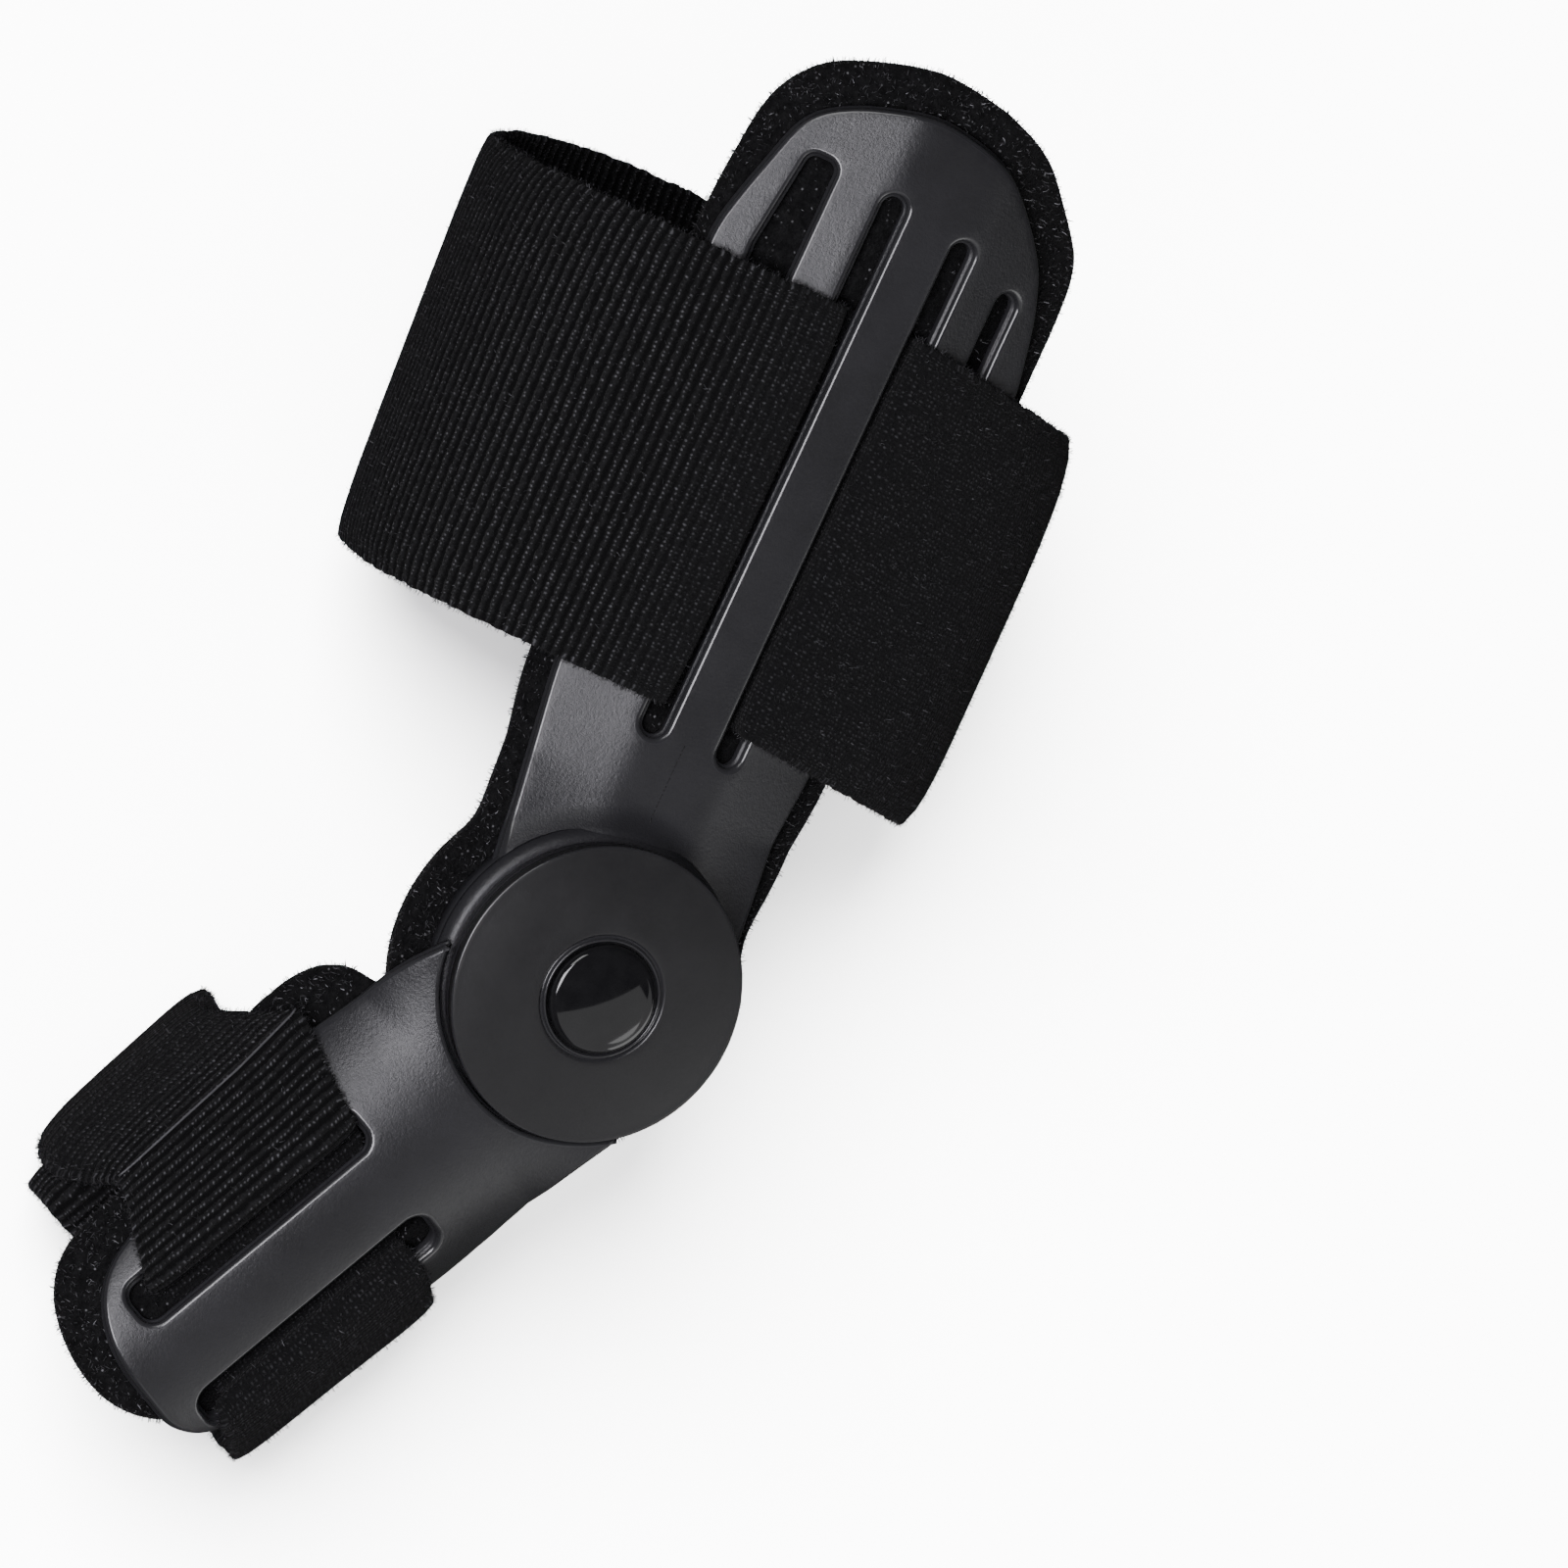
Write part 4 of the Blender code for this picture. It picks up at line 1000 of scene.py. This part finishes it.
def foot_strap_path(x):
    """The way round the foot strap's loop. Its plantar and lower runs lean along the arm as the strap hangs."""
    half, middle, drop = foot_loop_half(x)
    corners = half + [(-across, height, radius) for across, height, radius in reversed(half[:-1])]
    line = []
    for across, height, _ in bent([(*corner, 0) for corner in corners], 5, True):
        fall = max(0.0, (middle - height) / drop)
        if fall == 0:
            shift = FOOT_STRAP_SKEW * max(0.0, -across - FOOT_STRAP_SIDE) / (FOOT_LOOP_HALF - FOOT_STRAP_SIDE)
        else:
            shift = FOOT_STRAP_SKEW * (FOOT_LOOP_HALF - across) / (2 * FOOT_LOOP_HALF)
        inside = max(0.0, 1 - (across / FOOT_LOOP_HALF) ** 2)
        shift -= FOOT_STRAP_LEAN * math.sin(math.pi / 2 * min(1.0, fall)) * inside**0.8
        line.append((x - shift, across, height + fall * shift * REST_SLOPE))
    return line


def knit_courses(path_at, start, width, closed):
    """The strap's way at a few places of its width, cut in even steps, so many to a rib, and smoothed."""
    courses = [np.array(path_at(start + width * share)) for share in np.linspace(0, 1, COURSES)]
    if closed:
        courses = [np.vstack([course, course[:1]]) for course in courses]
    steps = [np.linalg.norm(np.diff(course, axis=0), axis=1) for course in courses]
    walk = np.concatenate([[0], np.cumsum(np.mean(steps, axis=0))])
    ribs = int(walk[-1] / RIB_PITCH)
    at = np.linspace(0, walk[-1], ribs * RIB_STEPS + 1)
    at = at[:-1] if closed else at
    kernel = np.exp(-0.5 * (np.arange(-SMOOTH_REACH, SMOOTH_REACH + 1) / 3.0) ** 2)
    kernel /= kernel.sum()
    cut = []
    for course in courses:
        even = np.stack([np.interp(at, walk, course[:, axis]) for axis in range(3)], 1)
        before = even[-SMOOTH_REACH:] if closed else np.repeat(even[:1], SMOOTH_REACH, 0)
        after = even[:SMOOTH_REACH] if closed else np.repeat(even[-1:], SMOOTH_REACH, 0)
        longer = np.vstack([before, even, after])
        cut.append(np.stack([np.convolve(longer[:, axis], kernel, "valid") for axis in range(3)], 1))
    return np.array(cut), at, walk[-1], ribs


def knit_lanes(cut, shares, closed):
    """The strap's middle at every lane of its width, with the way across and the way out of its face."""
    spots = shares * (COURSES - 1)
    low = np.minimum(spots.astype(int), COURSES - 2)
    part = (spots - low)[:, None, None]
    middle = (cut[low] * (1 - part) + cut[low + 1] * part).transpose(1, 0, 2)
    run = np.roll(middle, -1, 0) - np.roll(middle, 1, 0) if closed else np.gradient(middle, axis=0)
    over = np.gradient(middle, axis=1)
    out = np.cross(run, over)
    out /= np.linalg.norm(out, axis=2)[:, :, None]
    over /= np.linalg.norm(over, axis=2)[:, :, None]
    return middle, over, out


def knit_section(lanes):
    """Round the strap's cross-section: (lane, how far past its selvedge, level from its middle)."""
    selvedge = [(math.sin(a), math.cos(a)) for a in np.linspace(0.5, math.pi - 0.5, 4)]
    section = [(lane, 0.0, 1.0) for lane in range(lanes)]
    section += [(lanes - 1, past, level) for past, level in selvedge]
    section += [(lane, 0.0, -1.0) for lane in range(lanes - 1, -1, -1)]
    section += [(0, -past, level) for past, level in reversed(selvedge)]
    return section


def knit_rings(cut, at, total, ribs, lanes, closed, brushed, loose, curl, seed):
    """The strap's skin: raised ribs on its face, some slack where it hangs, curled and ragged selvedges."""
    shares = np.linspace(0, 1, lanes)
    middle, over, out = knit_lanes(cut, shares, closed)
    wave = 0.5 + 0.5 * np.cos(2 * math.pi * at / total * ribs)
    rib = wave**0.7 * RIB_RISE * (1 - 0.9 * brushed)
    curled = np.abs(2 * shares - 1) ** 6 * curl
    swell = np.sin(at / 23.0)[:, None] * np.sin(shares * 5.0 + 1.0)
    sway = 0.6 * np.sin(at / 9.0 + 2.0)[:, None] * (shares - 0.5)
    slack = 0.35 * loose[:, None] * (swell + sway)
    ragged = np.random.default_rng(seed).normal(size=(len(at), 2))
    ragged = np.stack([np.convolve(ragged[:, i], np.ones(5) / 5, "same") for i in (0, 1)], 1) * RAGGED
    tuck = {0: ragged[:, 0] + SELVEDGE_TUCK, lanes - 1: ragged[:, 1] - SELVEDGE_TUCK}
    rings = []
    for lane, past, level in knit_section(lanes):
        thick = level * (STRAP_HALF + rib - KNIT_PRESS) + slack[:, lane] + curled[lane] * (0.3 + 0.7 * loose)
        aside = past * STRAP_HALF * 0.9 + tuck.get(lane, np.zeros(len(at)))
        rings.append(middle[:, lane] + out[:, lane] * thick[:, None] + over[:, lane] * aside[:, None])
    return np.stack(rings, 1)


def skin_faces(long, around, closed):
    """Faces round a strap, which close it into a loop or cap its two ends."""
    index = np.arange(long * around).reshape(long, around)
    faces = []
    for row in range(long if closed else long - 1):
        here, after = index[row], index[(row + 1) % long]
        for j in range(around):
            k = (j + 1) % around
            faces.append((after[j], after[k], here[k], here[j]))
    if not closed:
        faces += [tuple(index[0]), tuple(index[-1][::-1])]
    return [tuple(int(corner) for corner in face) for face in faces]


def knit_band(name, path_at, start, width, closed, lanes, seat, material, brushed_at, loose_at, seed, curl):
    """A band of ribbed knit. Its mesh keeps the rib, the way across and how far it is brushed."""
    cut, at, total, ribs = knit_courses(path_at, start, width, closed)
    brushed, loose = brushed_at(at / total), loose_at(at / total)
    skin = knit_rings(cut, at, total, ribs, lanes, closed, brushed, loose, curl, seed)
    long, around = skin.shape[:2]
    made = solid_object(name, seated(skin.reshape(-1, 3), seat), skin_faces(long, around, closed), material)
    laid = np.zeros((long, around, 3), np.float32)
    laid[:, :, 0] = (at / total * ribs)[:, None]
    laid[:, :, 1] = np.array([np.linspace(0, 1, lanes)[lane] for lane, _, _ in knit_section(lanes)]) * width
    laid[:, :, 2] = brushed[:, None]
    weave = made.data.attributes.new("weave", "FLOAT_VECTOR", "POINT")
    weave.data.foreach_set("vector", laid.reshape(-1))
    return made, total


def ribbed_knit(name, dark, light_tone, stitch_highlight):
    """Black elastic knit: a rib every 1.4 mm with a row of small stitches, brushed out where it is nap. Rib
    crests are painted lighter and valleys darker, as painted light and shade, and the stitches are painted
    highlights.
    """
    finish = Finish(name)
    work = finish.worked
    weave = finish.node("ShaderNodeAttribute", attribute_name="weave").outputs["Vector"]
    rib_count, across_mm, brushed = finish.node("ShaderNodeSeparateXYZ", Vector=weave).outputs
    wander = work("MULTIPLY_ADD", finish.speckle(1.1, 2.0), 0.50, -0.25)
    along = work("ADD", rib_count, wander)
    crest = finish.between(work("COSINE", work("MULTIPLY", along, 2 * math.pi)), 0.0, 1.0, -0.6, 0.8)
    stitch_grid = {"X": work("MULTIPLY", along, 2.0), "Y": work("MULTIPLY", across_mm, 1 / 0.62)}
    flat = finish.node("ShaderNodeCombineXYZ", **stitch_grid).outputs["Vector"]
    loop_middle, pick = finish.cells(flat, 1.0, Randomness=0.35)
    heart = finish.between(loop_middle, 1.0, 0.0, 0.12, 0.34)
    shown = finish.between(pick, 0.45, 1.0, 0.10, 0.95)
    ribbed = work("MULTIPLY", crest, work("SUBTRACT", 1.0, brushed))
    on_rib = work("ADD", ribbed, work("MULTIPLY", brushed, 0.28))
    stitches = work("MULTIPLY", work("MULTIPLY", heart, shown), on_rib)
    nap_grain = finish.speckle(0.45, 3.0, 0.75)
    # Painted light and shade: rib crests lighter, the valleys between them darker; the brushed nap a little
    # lighter in tone.
    lit = work("MULTIPLY_ADD", ribbed, 0.85, work("MULTIPLY_ADD", brushed, 0.34, 0.04))
    grainy = work("MULTIPLY_ADD", finish.between(nap_grain, 0.0, 1.0), 0.7, 0.3)
    shade = finish.blended(work("MULTIPLY", grainy, lit), dark, light_tone)
    # Stitches painted as bright dots along the ribs: painted highlights.
    finish.give("Base Color", finish.blended(stitches, shade, stitch_highlight))
    finish.give("Roughness", finish.between(stitches, 0.95, 0.45, 0.0, 1.0))
    knitted = work("ADD", ribbed, work("MULTIPLY", loop_middle, -1.3))
    finish.raised(work("ADD", knitted, work("MULTIPLY", nap_grain, 0.7)), 1.0, 0.26)
    finish.give("Sheen Weight", 0.03)
    finish.give("Sheen Roughness", 0.5)
    finish.give("Specular IOR Level", 0.18)
    return finish.material


def selvedge_first(seat):
    """Fibre ends stand thick along both selvedges, and thinner over the brushed plantar side."""
    inverse = np.array(seat.inverted())

    def weigh(middles, normals):
        local = middles @ inverse[:3, :3].T + inverse[:3, 3]
        facing = np.abs(normals @ inverse[:3, :3].T[:, 0])
        return np.where(facing > 0.5, SELVEDGE_SHARE, BRUSHED_SHARE + 0.9 * (local[:, 1] < -6 * MM))

    return weigh


def foot_brushed(share):
    """Nap on the plantar half and, fading, next to the dorsal slot."""
    near_slot = 1 - eased((share - 0.01) / 0.08)
    return np.maximum(near_slot * 0.9, eased((share - 0.52) / 0.08))


def hangs_free(share):
    dorsal = eased((share - 0.05) / 0.06) * eased((0.30 - share) / 0.06)
    plantar = eased((share - 0.70) / 0.06) * eased((0.93 - share) / 0.05)
    return dorsal + plantar


# Lighter tone: painted light on the rib crests; last colour: the stitches' painted highlight.
black_knit = ribbed_knit("black_knit", (0.0016, 0.0016, 0.0018), (0.021, 0.021, 0.022), (0.14, 0.14, 0.15))
knit_fibre = fibre_stuff("knit_fibre", (0.12, 0.12, 0.13))
foot_band, foot_loop_length = knit_band(
    "foot_band",
    foot_strap_path,
    FOOT_STRAP_FROM,
    FOOT_STRAP_WIDE,
    True,
    24,
    FOOT_SEAT,
    black_knit,
    foot_brushed,
    hangs_free,
    seed=9,
    curl=1.6,
)
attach(foot_band, "foot")
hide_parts("foot_strap")
foot_selvedges = selvedge_first(FOOT_SEAT)
foot_fringe = nap("foot_fringe", foot_band, 1.1, 0.75, 0.07, knit_fibre, PILE_SEED + 2, foot_selvedges)
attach(foot_fringe, "foot")

# Toe strap: the same knit, narrower. It passes under the toe arm's bar and out of both slots, is creased
# sharply over the arm's dorsal edge and laps over itself, with the inner end rolled up inside the loop.
TOE_STRAP_FROM, TOE_STRAP_WIDE = 34.6, 30.5
TOE_STRAP_SKEW, TOE_STRAP_SPREAD, TOE_STRAP_FAN, TOE_STRAP_TURN = 5.0, 0.10, 0.12, 0.006
TOE_BAR_HALF, TOE_SLOT_MIDDLE = 5.7, 9.0
TOE_LOOP_HALF = 24.0
CREASE_SHIFT = 0.75


def toe_strap_route(start):
    """The corners of the toe strap's way at one place of its width, from its outer end to the inner roll."""
    drop = TOE_BEND_RADIUS - math.sqrt(TOE_BEND_RADIUS**2 - TOE_BAR_HALF**2)
    low = TOE_CREST - drop - TOE_WALL - STRAP_CLEAR - STRAP_HALF
    dorsal_slot, plantar_slot = TOE_SHIFT + TOE_SLOT_MIDDLE, TOE_SHIFT - TOE_SLOT_MIDDLE
    turned = 1 - TOE_STRAP_TURN * (start - TOE_STRAP_FROM - TOE_STRAP_WIDE / 2)

    def over(degrees, proud, radius, shift):
        """A place on the arm's face, that many degrees round from its spine."""
        arch = 1 / toe_curve((start + shift * TOE_STRAP_SKEW) / TOE_LENGTH)
        angle = math.radians(degrees)
        away = arch + STRAP_CLEAR + STRAP_HALF + proud
        return TOE_SHIFT + away * math.sin(angle), TOE_CREST - arch + away * math.cos(angle), radius, shift

    def low_at(share, layers, radius, shift):
        """A place on the floor, on top of so many layers of the strap."""
        across = share * TOE_LOOP_HALF
        return across, on_floor(-start - shift * TOE_STRAP_SKEW, across, -BEND, layers), radius, shift

    def level(share, down, radius, shift):
        """A place beside or inside the loop, at a share of the way down to the floor."""
        across = share * TOE_LOOP_HALF
        ground = under_strap(-start - shift * TOE_STRAP_SKEW, across, -BEND)
        return across, TOE_CREST + down * (ground - TOE_CREST), radius, shift

    rim = over(21, 0, 0, 0)[1]
    return [
        low_at(-0.30, 0, 0, 0.90),
        low_at(0.84, 0, 5.0, 0.60),
        level(0.99, 0.62, 12.0, 0.75),
        over(58, 0.8, 0.9, -CREASE_SHIFT),
        over(48, 0.3, 0, -0.55),
        over(39, 0, 0, -0.30),
        over(30, 0, 0, -0.10),
        (dorsal_slot, rim, 1.6, 0),
        (dorsal_slot, low, 1.6, 0),
        (plantar_slot, low, 1.6, 1.00),
        (plantar_slot, rim, 1.6, 1.20),
        over(-30, 0, 0, 1.30),
        over(-39, 0, 0, 1.35),
        over(-48, 0, 0, 1.45),
        over(-60, 0.4, 5.0, 1.55),
        level(-1.04 * turned, 0.60, 12.0, 1.60),
        low_at(-0.90 * turned, 0, 6.0, 1.50),
        low_at(-0.48, 0, 3.0, 1.30),
        low_at(-0.34, 1.15, 3.0, 1.15),
        low_at(0.70, 1.15, 4.5, 1.10),
        level(0.84, 0.68, 5.0, 1.20),
        level(0.78, 0.46, 2.8, 1.20),
        level(0.30, 0.56, 0, 1.10),
    ]


def toe_strap_path(start):
    """The toe strap's way. It fans out to the tip between crease and slot, and to both sides past the bar."""
    from_heel = start - TOE_STRAP_FROM
    path = []
    for across, height, shift in bent(toe_strap_route(start), 6, False):
        past_bar = max(0.0, min(1.0, (shift - 1.0) / 0.3))
        to_crease = max(0.0, min(1.0, -shift / CREASE_SHIFT))
        before_bar = max(0.0, min(1.0, 1 - shift / 0.3))
        spread = TOE_STRAP_SPREAD * (from_heel - TOE_STRAP_WIDE / 2) * past_bar
        spread += TOE_STRAP_FAN * (1 - 0.6 * to_crease) * before_bar * from_heel
        path.append((-start - shift * TOE_STRAP_SKEW - spread, across, height))
    return path


def toe_brushed(share):
    """Nap on the plantar run and, thinner, on the outer lap; the top and the inner end show their ribs."""
    plantar = eased((share - 0.36) / 0.05) * eased((0.72 - share) / 0.05)
    return np.maximum(plantar, 0.7 * (1 - eased((share - 0.23) / 0.04)))


def toe_free(share):
    return eased((share - 0.12) / 0.05) * eased((0.30 - share) / 0.05)


toe_band, toe_band_length = knit_band(
    "toe_band",
    toe_strap_path,
    TOE_STRAP_FROM,
    TOE_STRAP_WIDE,
    False,
    18,
    TOE_SEAT,
    black_knit,
    toe_brushed,
    toe_free,
    seed=8,
    curl=1.5,
)
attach(toe_band, "toe")
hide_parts("toe_strap")
toe_selvedges = selvedge_first(TOE_SEAT)
toe_fringe = nap("toe_fringe", toe_band, 1.4, 0.75, 0.07, knit_fibre, PILE_SEED + 3, toe_selvedges)
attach(toe_fringe, "toe")

# Crease of the toe strap: where the strap folds over the arm's dorsal edge, a thin tube of yarn lies along the
# fold.
# Its colour is lighter than the knit's, a painted highlight that shows the crease as one thin bright line.
CREASE_AT = math.radians(57)
CREASE_INSET, CREASE_STEPS = 0.3, 60
YARN_RADIUS, YARN_SIDES, YARN_PROUD = 0.16, 8, 0.12
# Light grey tube colour: a painted highlight along the crease.
crease_painted_highlight = plain_finish("crease_painted_highlight", {"Base Color": (0.06, 0.06, 0.065, 1.0), "Roughness": 0.35})
yarn = []
for start in np.linspace(CREASE_INSET, TOE_STRAP_WIDE - CREASE_INSET, CREASE_STEPS) + TOE_STRAP_FROM:
    walk = np.array(toe_strap_path(start))
    sideways, upwards = walk[:, 1] - TOE_SHIFT, walk[:, 2] - TOE_CREST + TOE_BEND_RADIUS
    slant = np.arctan2(sideways, upwards)
    inside_arm = np.hypot(sideways, upwards) < 20
    fold = np.argmin(np.abs(slant - CREASE_AT) + 10 * inside_arm)
    lift = np.array((0, math.sin(slant[fold]), math.cos(slant[fold]))) * (STRAP_HALF + YARN_PROUD)
    for turn in 2 * math.pi * np.arange(YARN_SIDES) / YARN_SIDES:
        yarn.append(walk[fold] + lift + YARN_RADIUS * np.array((0, math.cos(turn), math.sin(turn))))
yarn_faces = skin_faces(CREASE_STEPS, YARN_SIDES, False)
toe_crease = solid_object("toe_crease", seated(yarn, TOE_SEAT), yarn_faces, crease_painted_highlight)
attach(toe_crease, "toe")
